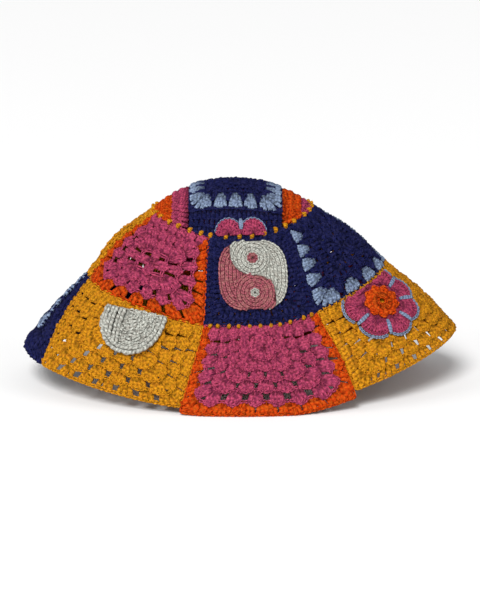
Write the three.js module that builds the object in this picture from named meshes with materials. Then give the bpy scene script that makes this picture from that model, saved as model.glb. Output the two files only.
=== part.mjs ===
// A crochet sun hat made of granny squares, standing on its rim as it does when it is put down.
// Millimetres, +Z up. The hat's front faces -Y, and the origin is on the surface under its middle.
//
// The cloth follows one smooth surface. A place on it has an angle round the hat, 0 at the front
// and rising towards +X, and a level: -1 at the crown's middle, 0 at the top seam, 2 at the middle
// seam and 4 at the rim. The squares, and the motifs sewn on them, are grids bent over it.

import * as THREE from 'three';

// The cloth and its seams
const CLOTH_THICKNESS = 3;
const SEAM_GAP = 0.7;
const CROWN_HEIGHT = 150.5;
const CROWN_ROUNDNESS = 2.3;

// Sections of the hat. A section is an oval of half_width and half_depth about middle_x, at front_z
// in front and behind, and it rises by left_rise and right_rise at its two sides.
const SECTION_COLUMNS = ['middle_x', 'half_width', 'half_depth', 'front_z', 'left_rise', 'right_rise'];
const SECTIONS = [
  [-5.5, 57.5, 48, 119, 10, 12],
  [-4.5, 87, 62, 93, 15, 19],
  [-2.5, 109, 72, 60, 21, 29],
  [-1, 136.5, 85, 31, 24, 34],
  [0, 160, 98, 0, 26, 38],
];
const TOP_SEAM = 0;
const MIDDLE_SEAM = 2;
const RIM = 4;
const BRIM_LEVEL_HEIGHT = 34;

// The rise starts this far round from the front and back, which leaves two flat feet in the rim
const FLAT_LEFT = THREE.MathUtils.degToRad(10);
const FLAT_RIGHT = THREE.MathUtils.degToRad(14);
const RISE_POWER = 1.4;

// Where the six upright seams cross each section, in degrees of even steps round the oval
const SEAM_COLUMNS = ['left', 'left_front', 'right_front', 'right', 'right_back', 'left_back'];
const SEAM_STEPS = [
  [-78, -18.5, 45.5, 102, 162, 222],
  [-79.5, -15.5, 38.5, 101, 160.5, 220],
  [-81.5, -15.5, 37.5, 100, 159.5, 219],
  [-75, -18, 38.5, 98, 160.5, 222.5],
  [-69.5, -20.5, 38.5, 96, 161, 225.5],
];
const FULL_TURN = 360;

// Through gaps between the clusters of a square: their middles across and down it, and their size
const GAP_MIDDLES = [0.2, 0.5, 0.8];
const GAP_SIZE = 4;
const SQUARE_HEIGHT = 66;

// Colours and finish of the yarns
const YARNS = {
  navy: 0x26265c,
  pink: 0xc04480,
  orange: 0xf0601e,
  yellow: 0xe6a523,
  light_blue: 0x96aac8,
  cream: 0xcdc8b9,
  rose: 0xcd5f6e,
};
const YARN_ROUGHNESS = 0.9;

// The squares, named by where they lie: the upright seam at their left, their yarn, whether gaps
// show in them, their width, and how far the brim's lower corners hang above the rim's line
const SQUARE_COLUMNS = ['place', 'left_seam', 'side_yarn', 'side_gaps', 'side_width', 'brim_yarn',
  'brim_width', 'left_lift', 'right_lift'];
const SQUARES = [
  ['left', 'left', 'pink', true, 85, 'yellow', 105, 0, 4],
  ['front', 'left_front', 'navy', false, 72, 'pink', 115, 0, 0],
  ['right', 'right_front', 'navy', true, 80, 'yellow', 120, 5, 0],
  ['right_back', 'right', 'yellow', true, 80, 'pink', 125, 0, 0],
  ['back', 'right_back', 'pink', true, 80, 'yellow', 125, 0, 0],
  ['left_back', 'left_back', 'yellow', true, 80, 'navy', 125, 0, 0],
];

// The crown's middle square, seen from above, with a front edge that bows forwards, and the straight
// line where each side's inner strip meets its outer one
const TOP_SQUARE = { left: -37, right: 30.5, front: -29, front_bow: 4, back: 27 };
const LEFT_STRIP_EDGE = -48;
const RIGHT_STRIP_EDGE = 43;
const OUTER_PIECE_TRIM = THREE.MathUtils.degToRad(4);

// Cells along and across the crown's pieces outside that square
const CROWN_STEPS = 8;
const STRIP_STEPS = 2;

// Motifs sewn on the cloth. Their own x runs to the right and their y upwards over the cloth.
const MOTIF_GAP = 0.4;
const MOTIF_THICKNESS = 2.4;
const EDGE_THICKNESS = 1.5;

const DISC = { angle: 9.4, level: 0.94, half_width: 24.2, half_height: 25.3, squareness: 2.8 };
const DISC_BEND = { reach: 15.6, height: 17 };
const DISC_ROWS = [24.8, 22, 17, 11, 6, 2.5, 0, -2.5, -6, -11, -17, -22, -24.8];
const DISC_COLUMNS = 5;
const DISC_EYES = [
  { name: 'disc_rose_eye', yarn: 'rose', x: -0.2, y: 11.7, radius: 3.9 },
  { name: 'disc_cream_eye', yarn: 'cream', x: 0.5, y: -12.7, radius: 3.2 },
];
const EYE_THICKNESS = 1.4;
const EYE_COLUMNS = 10;
const EYE_ROWS = [0.15, 0.6, 1];

// Flowers: radii of the hole in the middle, of the inner round, of the petals and of the edging.
// The edging's spokes run in between the petals, at turns counted in degrees from the right.
const FLOWER = {
  angle: 57.6,
  level: 2.46,
  hole: 1.6,
  centre: 11.5,
  petals: 27,
  edging: 30.5,
  stretch: 1.12,
  spokes: [-148, -92, -46, 0, 45],
  dips: [-148, -92, -46, 0, 45, 100, 155],
  span: [-200, 160],
  edging_span: [-172, 72],
  lowest_level: 2.03,
  highest_level: RIM,
};
const HALF_FLOWER = {
  angle: 7,
  level: -0.02,
  hole: 3,
  petals: 12.8,
  edging: 15.5,
  stretch: 1.22,
  spokes: [88],
  dips: [35, 88, 145],
  span: [8, 172],
  edging_span: [8, 172],
  lowest_level: -1,
  highest_level: -0.015,
};
const SPOKE_WIDTH = 7;
const SPOKE_GAP = 1.8;
const SPOKE_INNER_SHARE = 0.4;
const PETAL_INNER_SHARE = 0.3;
const PETAL_LINES = [1 / 4, 1 / 2, 3 / 4];
const PETAL_FULLNESS_FROM = 0.2;
const CENTRE_COLUMNS = 16;
const SCALLOP_DEPTH = 0.09;
const SCALLOP_REACH = 20;

// The shell-like patch: a half oval with a rolled rim and upright ribs, its straight edge at the top
const SHELL = { angle: -40.2, level: 2.09, half_width: 23.8, drop: 32, roundness: 2.3, tilt: -6 };
const SHELL_RIM = { share: 0.82, height: 2.2 };
const SHELL_RIBS = { middles: [-0.66, -0.46, -0.26], width: 0.07, height: 1.8, drop_share: 0.75 };
const SHELL_COLUMNS = [
  -1, -0.92, -0.8, -0.66, -0.56, -0.46, -0.36, -0.26, -0.16, 0.1, 0.4, 0.7, 0.86, 0.94, 1,
];
const SHELL_ROWS = [0, 0.12, 0.3, 0.5, 0.68, 0.8, 0.9, 0.96];

const SMALL_STEP = 0.001;
const LAYING_ROUNDS = 8;
const lerp = THREE.MathUtils.lerp;
const degToRad = THREE.MathUtils.degToRad;

// Rows of a table as objects keyed by its column names
function tableRows(columns, rows) {
  return rows.map((row) => Object.fromEntries(columns.map((column, index) => [column, row[index]])));
}

// A table's row at a level between its own, on a smooth curve through them
function smoothRow(table, level) {
  const last = table.length - 1;
  const index = Math.min(Math.max(Math.floor(level), 0), last - 1);
  const share = level - index;
  return table[index].map((value, column) => {
    const next = table[index + 1][column];
    const before = index > 0 ? table[index - 1][column] : 2 * value - next;
    const after = index < last - 1 ? table[index + 2][column] : 2 * next - value;
    const slope = (next - before) / 2;
    const nextSlope = (after - value) / 2;
    const bend = 3 * (next - value) - 2 * slope - nextSlope;
    const twist = slope + nextSlope - 2 * (next - value);
    return value + share * (slope + share * (bend + share * twist));
  });
}

function sectionAt(level) {
  return tableRows(SECTION_COLUMNS, [smoothRow(SECTIONS, Math.max(level, TOP_SEAM))])[0];
}

function seamSteps(level) {
  return smoothRow(SEAM_STEPS, Math.max(level, TOP_SEAM));
}

// Even steps round an oval become the angle that its sine and cosine take
function angleOfStep(step, section) {
  const flatness = (section.half_width - section.half_depth) / (section.half_width + section.half_depth);
  return step - (flatness / 2) * Math.sin(2 * step);
}

function rise(angle, section) {
  const toTheLeft = Math.sin(angle) < 0;
  const flat = Math.sin(toTheLeft ? FLAT_LEFT : FLAT_RIGHT);
  const share = Math.max(0, Math.abs(Math.sin(angle)) - flat) / (1 - flat);
  return (toTheLeft ? section.left_rise : section.right_rise) * share ** RISE_POWER;
}

// A point of the cloth's outer face
function clothPoint(angle, level) {
  const section = sectionAt(level);
  const spread = Math.min(1, 1 + level);
  const edgeHeight = section.front_z + rise(angle, section);
  const crown = level < TOP_SEAM ? (CROWN_HEIGHT - edgeHeight) * (1 - spread ** CROWN_ROUNDNESS) : 0;
  return new THREE.Vector3(
    section.middle_x + section.half_width * spread * Math.sin(angle),
    -section.half_depth * spread * Math.cos(angle),
    edgeHeight + crown,
  );
}

// The outward direction there, taken from one side of a seam or the other
function clothNormal(angle, level, step = SMALL_STEP) {
  const here = clothPoint(angle, level);
  const along = clothPoint(angle + SMALL_STEP, level).sub(here);
  const down = clothPoint(angle, level + step).sub(here).multiplyScalar(Math.sign(step));
  return down.cross(along).normalize();
}

// A solid from a grid of cells. place gives the point at a column and row, on the outer side (0)
// or the inner one (1), and isOpen says which cells are holes.
function gridSolid({ columns, rows, place, isOpen = () => false, closed = false }) {
  const width = columns.length - 1;
  const height = rows.length - 1;
  const across = closed ? width : width + 1;
  const positions = [];
  const triangles = [];
  const known = new Map();

  function corner(i, j, side) {
    const key = `${i % across},${j},${side}`;
    if (!known.has(key)) {
      known.set(key, positions.length / 3);
      positions.push(...place(columns[i % across], rows[j], side).toArray());
    }
    return known.get(key);
  }

  function quad(a, b, c, d) {
    triangles.push(a, b, c, a, c, d);
  }

  function solidCell(i, j) {
    const column = closed ? (i + width) % width : i;
    if (column < 0 || column >= width || j < 0 || j >= height) {
      return false;
    }
    return !isOpen(column, j);
  }

  for (let i = 0; i < width; i += 1) {
    for (let j = 0; j < height; j += 1) {
      if (solidCell(i, j)) {
        const ring = [[i, j], [i, j + 1], [i + 1, j + 1], [i + 1, j]];
        quad(...ring.map(([x, y]) => corner(x, y, 0)));
        quad(...ring.map(([x, y]) => corner(x, y, 1)).reverse());
        const neighbours = [[i - 1, j], [i, j + 1], [i + 1, j], [i, j - 1]];
        neighbours.forEach(([x, y], edge) => {
          if (!solidCell(x, y)) {
            const [start, end] = [ring[edge], ring[(edge + 1) % ring.length]];
            quad(corner(...end, 0), corner(...start, 0), corner(...start, 1), corner(...end, 1));
          }
        });
      }
    }
  }
  const geometry = new THREE.BufferGeometry();
  geometry.setAttribute('position', new THREE.Float32BufferAttribute(positions, 3));
  geometry.setIndex(triangles);
  geometry.computeVertexNormals();
  return geometry;
}

function evenShares(count) {
  return Array.from({ length: count + 1 }, (_, index) => index / count);
}

// Grid lines across a square: both sides of each gap, and one between neighbouring gaps
function gapLines(length) {
  const half = GAP_SIZE / 2 / length;
  const lines = [0];
  GAP_MIDDLES.forEach((middle, index) => {
    if (index > 0) {
      lines.push((GAP_MIDDLES[index - 1] + middle) / 2);
    }
    lines.push(middle - half, middle + half);
  });
  return [...lines, 1];
}

// The cells between a gap's two lines: the second of every three
function isGapCell(index) {
  return index % 3 === 1;
}

const hat = new THREE.Group();

function addPiece(name, yarn, geometry) {
  const material = new THREE.MeshStandardMaterial({
    color: YARNS[yarn],
    roughness: YARN_ROUGHNESS,
    metalness: 0,
  });
  const mesh = new THREE.Mesh(geometry, material);
  mesh.name = name;
  hat.add(mesh);
}

// One granny square between two levels and two upright seams. Its edge on the rim is cut level, so
// that the rim has flat feet.
function grannySquare({ seam, top, bottom, width, gaps, leftLift = 0, rightLift = 0 }) {
  const gapAcross = SEAM_GAP / 2 / width;
  const gapDown = SEAM_GAP / 2 / BRIM_LEVEL_HEIGHT;

  function place(u, v, side) {
    const lift = bottom === RIM ? lerp(leftLift, rightLift, u) / BRIM_LEVEL_HEIGHT : gapDown;
    const level = lerp(top + gapDown, bottom - lift, v);
    const steps = seamSteps(level);
    const nextStep = seam + 1 < steps.length ? steps[seam + 1] : steps[0] + FULL_TURN;
    const step = degToRad(lerp(steps[seam], nextStep, lerp(gapAcross, 1 - gapAcross, u)));
    const angle = angleOfStep(step, sectionAt(level));
    const point = clothPoint(angle, level);
    const normal = clothNormal(angle, level, v < 1 ? SMALL_STEP : -SMALL_STEP);
    if (side === 1) {
      const steepness = Math.hypot(normal.x, normal.y);
      if (bottom === RIM && v === 1) {
        normal.setZ(0).divideScalar(steepness * steepness);
      }
      point.addScaledVector(normal, -CLOTH_THICKNESS);
    }
    return point;
  }

  return gridSolid({
    columns: gapLines(width),
    rows: gapLines(SQUARE_HEIGHT),
    place,
    isOpen: (i, j) => gaps && isGapCell(i) && isGapCell(j),
  });
}

function addSquares() {
  for (const square of tableRows(SQUARE_COLUMNS, SQUARES)) {
    const { place } = square;
    const seam = SEAM_COLUMNS.indexOf(square.left_seam);
    addPiece(`side_square_${place}`, square.side_yarn, grannySquare({
      seam,
      top: TOP_SEAM,
      bottom: MIDDLE_SEAM,
      width: square.side_width,
      gaps: square.side_gaps,
    }));
    addPiece(`brim_square_${place}`, square.brim_yarn, grannySquare({
      seam,
      top: MIDDLE_SEAM,
      bottom: RIM,
      width: square.brim_width,
      gaps: true,
      leftLift: square.left_lift,
      rightLift: square.right_lift,
    }));
  }
}

// The crown's cloth over a point of the plan, on its outer or inner side
function crownPlace(x, y, side) {
  const section = sectionAt(TOP_SEAM);
  const acrossShare = (x - section.middle_x) / section.half_width;
  const depthShare = -y / section.half_depth;
  const angle = Math.atan2(acrossShare, depthShare);
  const level = Math.min(Math.hypot(acrossShare, depthShare) - 1, -SMALL_STEP);
  const point = clothPoint(angle, level);
  return side === 0 ? point : point.addScaledVector(clothNormal(angle, level, -SMALL_STEP), -CLOTH_THICKNESS);
}

// The plan of the top seam's line, less the seam's gap: the y behind or in front at an x, and the
// point at an angle
function topSeamDepth(x) {
  const section = sectionAt(TOP_SEAM);
  const share = (x - section.middle_x) / (section.half_width - SEAM_GAP);
  return (section.half_depth - SEAM_GAP) * Math.sqrt(1 - share * share);
}

function topSeamPlan(angle) {
  const section = sectionAt(TOP_SEAM);
  return {
    x: section.middle_x + (section.half_width - SEAM_GAP) * Math.sin(angle),
    y: -(section.half_depth - SEAM_GAP) * Math.cos(angle),
  };
}

// The seam's angle where a straight line across the plan meets it
function topSeamAngle(x) {
  const section = sectionAt(TOP_SEAM);
  return Math.asin((x - section.middle_x) / (section.half_width - SEAM_GAP));
}

// The middle square's front edge at an x of the plan
function topSquareFront(x) {
  const { left, right, front, front_bow: bow } = TOP_SQUARE;
  const share = (2 * x - left - right) / (right - left);
  return front - bow * (1 - share * share);
}

// The middle square with its through gaps
function addTopSquare() {
  const { left, right, front, back } = TOP_SQUARE;
  addPiece('top_square', 'navy', gridSolid({
    columns: gapLines(right - left),
    rows: gapLines(back - front),
    place: (u, v, side) => {
      const x = lerp(left, right, u);
      return crownPlace(x, lerp(back, topSquareFront(x), v), side);
    },
    isOpen: (i, j) => isGapCell(i) && isGapCell(j),
  }));
}

// The pieces in front of and behind the middle square, out to the top seam
function addTopPanels() {
  const { left, right, back } = TOP_SQUARE;
  const inset = SEAM_GAP / 2;
  const columns = evenShares(CROWN_STEPS);
  const rows = evenShares(STRIP_STEPS);
  addPiece('top_front_panel', 'navy', gridSolid({
    columns,
    rows,
    place: (u, v, side) => {
      const x = lerp(left + inset, right - inset, u);
      return crownPlace(x, lerp(topSquareFront(x) - SEAM_GAP, -topSeamDepth(x), v), side);
    },
  }));
  addPiece('top_back_panel', 'pink', gridSolid({
    columns,
    rows,
    place: (u, v, side) => {
      const x = lerp(right - inset, left + inset, u);
      return crownPlace(x, lerp(back + SEAM_GAP, topSeamDepth(x), v), side);
    },
  }));
}

// The strip beside the middle square and the round-edged piece outside it, on one side. facing is
// -1 on the left and 1 on the right.
function addTopSide({ side: sideName, facing, innerX, edgeX, innerYarn, outerYarn }) {
  const inner = innerX + facing * SEAM_GAP;
  const outer = edgeX - (facing * SEAM_GAP) / 2;
  addPiece(`top_${sideName}_inner`, innerYarn, gridSolid({
    columns: evenShares(CROWN_STEPS),
    rows: evenShares(STRIP_STEPS),
    place: (u, v, side) => {
      const x = lerp(inner, outer, v);
      return crownPlace(x, lerp(-topSeamDepth(x), topSeamDepth(x), facing > 0 ? u : 1 - u), side);
    },
  }));
  const start = Math.abs(topSeamAngle(edgeX)) + OUTER_PIECE_TRIM;
  const straightX = edgeX + (facing * SEAM_GAP) / 2;
  addPiece(`top_${sideName}_outer`, outerYarn, gridSolid({
    columns: evenShares(CROWN_STEPS),
    rows: evenShares(STRIP_STEPS),
    place: (u, v, side) => {
      const turn = lerp(start, Math.PI - start, facing > 0 ? u : 1 - u);
      const onSeam = topSeamPlan(facing * turn);
      return crownPlace(lerp(straightX, onSeam.x, v), onSeam.y, side);
    },
  }));
}

// Lays a motif's flat drawing on the cloth: x and y in the plane that touches the cloth at the
// motif's middle are carried straight onto it. It gives the angle and level of that place.
function locator({ angle, level }) {
  const start = { angle: degToRad(angle), level };
  const origin = clothPoint(start.angle, start.level);
  const normal = clothNormal(start.angle, start.level);
  const right = new THREE.Vector3(0, 0, 1).cross(normal).normalize();
  const up = normal.clone().cross(right);
  return (x, y) => {
    const target = origin.clone().addScaledVector(right, x).addScaledVector(up, y);
    const here = { ...start };
    for (let round = 0; round < LAYING_ROUNDS; round += 1) {
      const point = clothPoint(here.angle, here.level);
      const along = clothPoint(here.angle + SMALL_STEP, here.level).sub(point).divideScalar(SMALL_STEP);
      const down = clothPoint(here.angle, here.level + SMALL_STEP).sub(point).divideScalar(SMALL_STEP);
      const miss = target.clone().sub(point);
      const area = along.dot(right) * down.dot(up) - down.dot(right) * along.dot(up);
      here.angle += (miss.dot(right) * down.dot(up) - down.dot(right) * miss.dot(up)) / area;
      here.level += (along.dot(right) * miss.dot(up) - along.dot(up) * miss.dot(right)) / area;
    }
    return here;
  };
}

// A motif's place on the cloth for gridSolid: draw gives x, y and thickness at a column and row
function motifPlace(motif, draw) {
  const locate = locator(motif);
  return (u, v, side) => {
    const { x, y, thickness, foot = MOTIF_GAP } = draw(u, v);
    const { angle, level } = locate(x, y);
    const height = side === 0 ? foot + thickness : foot;
    return clothPoint(angle, level).addScaledVector(clothNormal(angle, level), height);
  };
}

// A rounded bulge: full in the middle and thin at both ends of a share from 0 to 1
function bulge(share) {
  return lerp(EDGE_THICKNESS, MOTIF_THICKNESS, Math.sqrt(Math.max(0, 1 - (2 * share - 1) ** 2)));
}

function discHalfWidth(y) {
  const { half_width: halfWidth, half_height: halfHeight, squareness } = DISC;
  return halfWidth * (1 - Math.abs(y / halfHeight) ** squareness) ** (1 / squareness);
}

// The line between the two halves: it swings to the left above and to the right below
function discBend(y) {
  const swing = Math.sin((Math.PI / 2) * Math.sqrt(Math.abs(y) / DISC_BEND.height));
  return -Math.sign(y) * DISC_BEND.reach * swing;
}

// The two-coloured disc with its swung dividing line and two round eyes
function addDisc() {
  const columns = evenShares(DISC_COLUMNS);
  const inset = SEAM_GAP / 2;
  addPiece('disc_cream_half', 'cream', gridSolid({
    columns,
    rows: DISC_ROWS.slice(0, -1),
    place: motifPlace(DISC, (u, y) => {
      const start = Math.max(discBend(y), -discHalfWidth(y)) + inset;
      return { x: lerp(start, discHalfWidth(y), u), y, thickness: bulge(u) };
    }),
  }));
  addPiece('disc_rose_half', 'rose', gridSolid({
    columns,
    rows: DISC_ROWS.slice(1),
    place: motifPlace(DISC, (u, y) => {
      const end = Math.min(discBend(y), discHalfWidth(y)) - inset;
      return { x: lerp(-discHalfWidth(y), end, u), y, thickness: bulge(u) };
    }),
  }));
  for (const eye of DISC_EYES) {
    addPiece(eye.name, eye.yarn, gridSolid({
      columns: evenShares(EYE_COLUMNS),
      rows: EYE_ROWS,
      closed: true,
      place: motifPlace(DISC, (u, share) => ({
        x: eye.x + eye.radius * share * Math.cos(2 * Math.PI * u),
        y: eye.y + eye.radius * share * Math.sin(2 * Math.PI * u),
        foot: MOTIF_GAP + MOTIF_THICKNESS + MOTIF_GAP,
        thickness: EYE_THICKNESS * Math.sqrt(1 - (share * share) / 2),
      })),
    }));
  }
}

// A flower's columns: the turn where each begins, in degrees, and whether it belongs to a petal, to
// a spoke or to the thin gap beside one. The last entry only ends the round.
function flowerColumns({ spokes, span }) {
  const half = SPOKE_WIDTH / 2;
  const columns = [];
  let begin = span[0];
  for (const spoke of [...spokes, null]) {
    const end = spoke === null ? span[1] : spoke - half - SPOKE_GAP;
    columns.push({ turn: begin, kind: 'petal' });
    PETAL_LINES.forEach((share) => columns.push({ turn: lerp(begin, end, share), kind: 'petal' }));
    if (spoke !== null) {
      columns.push({ turn: end, kind: 'gap' });
      columns.push({ turn: spoke - half, kind: 'spoke' });
      columns.push({ turn: spoke + half, kind: 'gap' });
      begin = spoke + half + SPOKE_GAP;
    }
  }
  columns.push({ turn: span[1], kind: 'end' });
  return columns;
}

// A flower's outline at a turn: it dips between two petals, and stops short of the seam
function flowerRadius(flower, locate, radius, turn) {
  const halfTurn = FULL_TURN / 2;
  const distances = flower.dips.map((dip) => {
    const apart = (((turn - dip) % FULL_TURN) + FULL_TURN) % FULL_TURN;
    return Math.min(apart, FULL_TURN - apart);
  });
  const nearness = Math.max(0, 1 - Math.min(...distances, halfTurn) / SCALLOP_REACH);
  let reach = radius * (1 - SCALLOP_DEPTH * nearness);
  const angle = degToRad(turn);
  let { level } = locate(flower.stretch * reach * Math.cos(angle), reach * Math.sin(angle));
  while (level < flower.lowest_level || level > flower.highest_level) {
    reach -= SEAM_GAP / 2;
    level = locate(flower.stretch * reach * Math.cos(angle), reach * Math.sin(angle)).level;
  }
  return reach;
}

// A flower: its round of petals, and its edging, whose spokes run in between them
function addFlower(name, flower) {
  const locate = locator(flower);
  const columns = flowerColumns(flower);
  const isWhole = flower.span[1] - flower.span[0] === FULL_TURN;
  const inner = flower.centre ? flower.centre + MOTIF_GAP : flower.hole;

  function draw(turn, radius, thickness) {
    const angle = degToRad(turn);
    return { x: flower.stretch * radius * Math.cos(angle), y: radius * Math.sin(angle), thickness };
  }

  addPiece(`${name}_petals`, 'pink', gridSolid({
    columns: columns.map(({ turn }) => turn),
    rows: [0, PETAL_INNER_SHARE, (1 + PETAL_INNER_SHARE) / 2, 1],
    closed: isWhole,
    isOpen: (i, j) => columns[i].kind !== 'petal' && j > 0,
    place: motifPlace(flower, (turn, share) => {
      const edge = flowerRadius(flower, locate, flower.petals, turn);
      return draw(turn, lerp(inner, edge, share), bulge(lerp(PETAL_FULLNESS_FROM, 1, share)));
    }),
  }));

  const [start, end] = flower.edging_span;
  const edged = columns.filter(({ turn }) => turn >= start && turn <= end);
  addPiece(`${name}_edging`, 'light_blue', gridSolid({
    columns: edged.map(({ turn }) => turn),
    rows: [0, 1, 2],
    isOpen: (i, j) => j === 0 && edged[i].kind !== 'spoke',
    place: motifPlace(flower, (turn, row) => {
      const petalEdge = flowerRadius(flower, locate, flower.petals, turn);
      const outerEdge = flowerRadius(flower, locate, flower.edging, turn);
      const spokeStart = lerp(inner, petalEdge, SPOKE_INNER_SHARE);
      const radius = [spokeStart, petalEdge + MOTIF_GAP, outerEdge][row];
      return draw(turn, radius, row < 2 ? MOTIF_THICKNESS : EDGE_THICKNESS);
    }),
  }));
}

function addFlowerCentre() {
  addPiece('flower_centre', 'orange', gridSolid({
    columns: evenShares(CENTRE_COLUMNS),
    rows: [FLOWER.hole, FLOWER.centre / 2, FLOWER.centre],
    closed: true,
    place: motifPlace(FLOWER, (u, radius) => ({
      x: FLOWER.stretch * radius * Math.cos(2 * Math.PI * u),
      y: radius * Math.sin(2 * Math.PI * u),
      thickness: bulge(radius / FLOWER.centre),
    })),
  }));
}

// The shell-like patch, thicker along its rolled rim and over its ribs
function addShell() {
  const { half_width: halfWidth, drop, roundness, tilt } = SHELL;
  const turn = degToRad(tilt);

  function thicknessAt(across, down) {
    const radius = (Math.abs(across) ** roundness + down ** roundness) ** (1 / roundness);
    const rim = radius > SHELL_RIM.share ? SHELL_RIM.height : 0;
    const onRib = SHELL_RIBS.middles.some((middle) => Math.abs(across - middle) < SHELL_RIBS.width);
    const rib = onRib && down < SHELL_RIBS.drop_share ? SHELL_RIBS.height : 0;
    return MOTIF_THICKNESS + Math.max(rim, rib);
  }

  addPiece('shell_patch', 'cream', gridSolid({
    columns: SHELL_COLUMNS,
    rows: SHELL_ROWS,
    place: motifPlace(SHELL, (share, down) => {
      const across = share * (1 - down ** roundness) ** (1 / roundness);
      const [x, y] = [across * halfWidth, -down * drop];
      const isEdge = Math.abs(share) === 1 || down === SHELL_ROWS.at(-1);
      return {
        x: x * Math.cos(turn) - y * Math.sin(turn),
        y: x * Math.sin(turn) + y * Math.cos(turn),
        thickness: isEdge ? EDGE_THICKNESS : thicknessAt(across, down),
      };
    }),
  }));
}

addSquares();
addTopSquare();
addTopPanels();
addTopSide({
  side: 'left',
  facing: -1,
  innerX: TOP_SQUARE.left,
  edgeX: LEFT_STRIP_EDGE,
  innerYarn: 'pink',
  outerYarn: 'orange',
});
addTopSide({
  side: 'right',
  facing: 1,
  innerX: TOP_SQUARE.right,
  edgeX: RIGHT_STRIP_EDGE,
  innerYarn: 'orange',
  outerYarn: 'pink',
});
addDisc();
addFlower('flower', FLOWER);
addFlowerCentre();
addFlower('half_flower', HALF_FLOWER);
addShell();

export default hat;
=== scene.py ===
"""Looks of a crochet sun hat: granny squares, motifs and seams, worked stitch by stitch in yarn.

Every stitch is modelled once and copied along flat drawings of the rounds and rows. A drawing is
then laid on the cloth, whose smooth surface is the one that the frame's solids follow. Drawings
are in millimetres, with x to the right, y upwards and height out of the cloth, and the finished
meshes are in metres.
"""

import math
from collections import namedtuple

import bmesh
import bpy
import numpy as np
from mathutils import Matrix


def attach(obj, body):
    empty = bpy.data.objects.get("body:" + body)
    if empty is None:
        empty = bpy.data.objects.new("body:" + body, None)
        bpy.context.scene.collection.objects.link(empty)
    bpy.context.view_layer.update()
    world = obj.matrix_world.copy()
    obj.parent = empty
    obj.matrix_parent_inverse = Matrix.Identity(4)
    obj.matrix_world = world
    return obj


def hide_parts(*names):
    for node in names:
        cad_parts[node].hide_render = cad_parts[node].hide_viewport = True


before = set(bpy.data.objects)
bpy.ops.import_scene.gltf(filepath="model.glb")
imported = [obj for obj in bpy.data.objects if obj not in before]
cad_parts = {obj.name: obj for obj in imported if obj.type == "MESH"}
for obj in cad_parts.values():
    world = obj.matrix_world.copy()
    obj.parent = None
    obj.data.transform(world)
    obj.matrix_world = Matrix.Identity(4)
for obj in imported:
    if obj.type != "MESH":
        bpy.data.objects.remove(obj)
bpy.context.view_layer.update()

bl_info = {
    "name": "Crochet Granny-Square Hat",
    "version": (1, 0, 0),
    "blender": (4, 5, 0),
    "location": "View3D > Sidebar > Crochet Hat",
    "description": "Works a granny-square sun hat stitch by stitch over its packed solids",
    "category": "Add Mesh",
}

MM = 0.001

# Sections of the hat. Each is an oval, given by its middle's x, its half width and half depth, the z
# of its front and back, and how far it rises at its left and right sides
SECTIONS = np.array([
    (-5.5, 57.5, 48, 119, 10, 12),
    (-4.5, 87, 62, 93, 15, 19),
    (-2.5, 109, 72, 60, 21, 29),
    (-1, 136.5, 85, 31, 24, 34),
    (0, 160, 98, 0, 26, 38),
])
TOP_SEAM = 0
MIDDLE_SEAM = 2
RIM = 4
CROWN_HEIGHT = 150.5
CROWN_ROUNDNESS = 2.3
FLAT_LEFT = math.radians(10)
FLAT_RIGHT = math.radians(14)
RISE_POWER = 1.4

# Where the six upright seams cross each section, in degrees of even steps round the oval
SEAM_COLUMNS = ("left", "left_front", "right_front", "right", "right_back", "left_back")
SEAM_STEPS = np.array([
    (-78, -18.5, 45.5, 102, 162, 222),
    (-79.5, -15.5, 38.5, 101, 160.5, 220),
    (-81.5, -15.5, 37.5, 100, 159.5, 219),
    (-75, -18, 38.5, 98, 160.5, 222.5),
    (-69.5, -20.5, 38.5, 96, 161, 225.5),
])
SEAM_GAP = 0.7
LEVEL_HEIGHT = 34
SMALL_STEP = 0.001
LAYING_ROUNDS = 8

# Granny squares: the half size of their flat drawing, the crown's rounds and its last round's
# clusters at the bottom and the sides, and the depth of borders. The brim's squares are cut at the
# top, where only some of their rounds lie above the middle
HALF_SQUARE = 34.0
TOP_ROUNDS = 5
TOP_COUNTS = (5, 5)
BORDER_DEPTH = 9.5
EDGE_INSET = 0.5
RIM_INSET = 1.5
SQUARE_HEIGHT = 66.0
CLOTH_MIDDLE = -1.4

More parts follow.
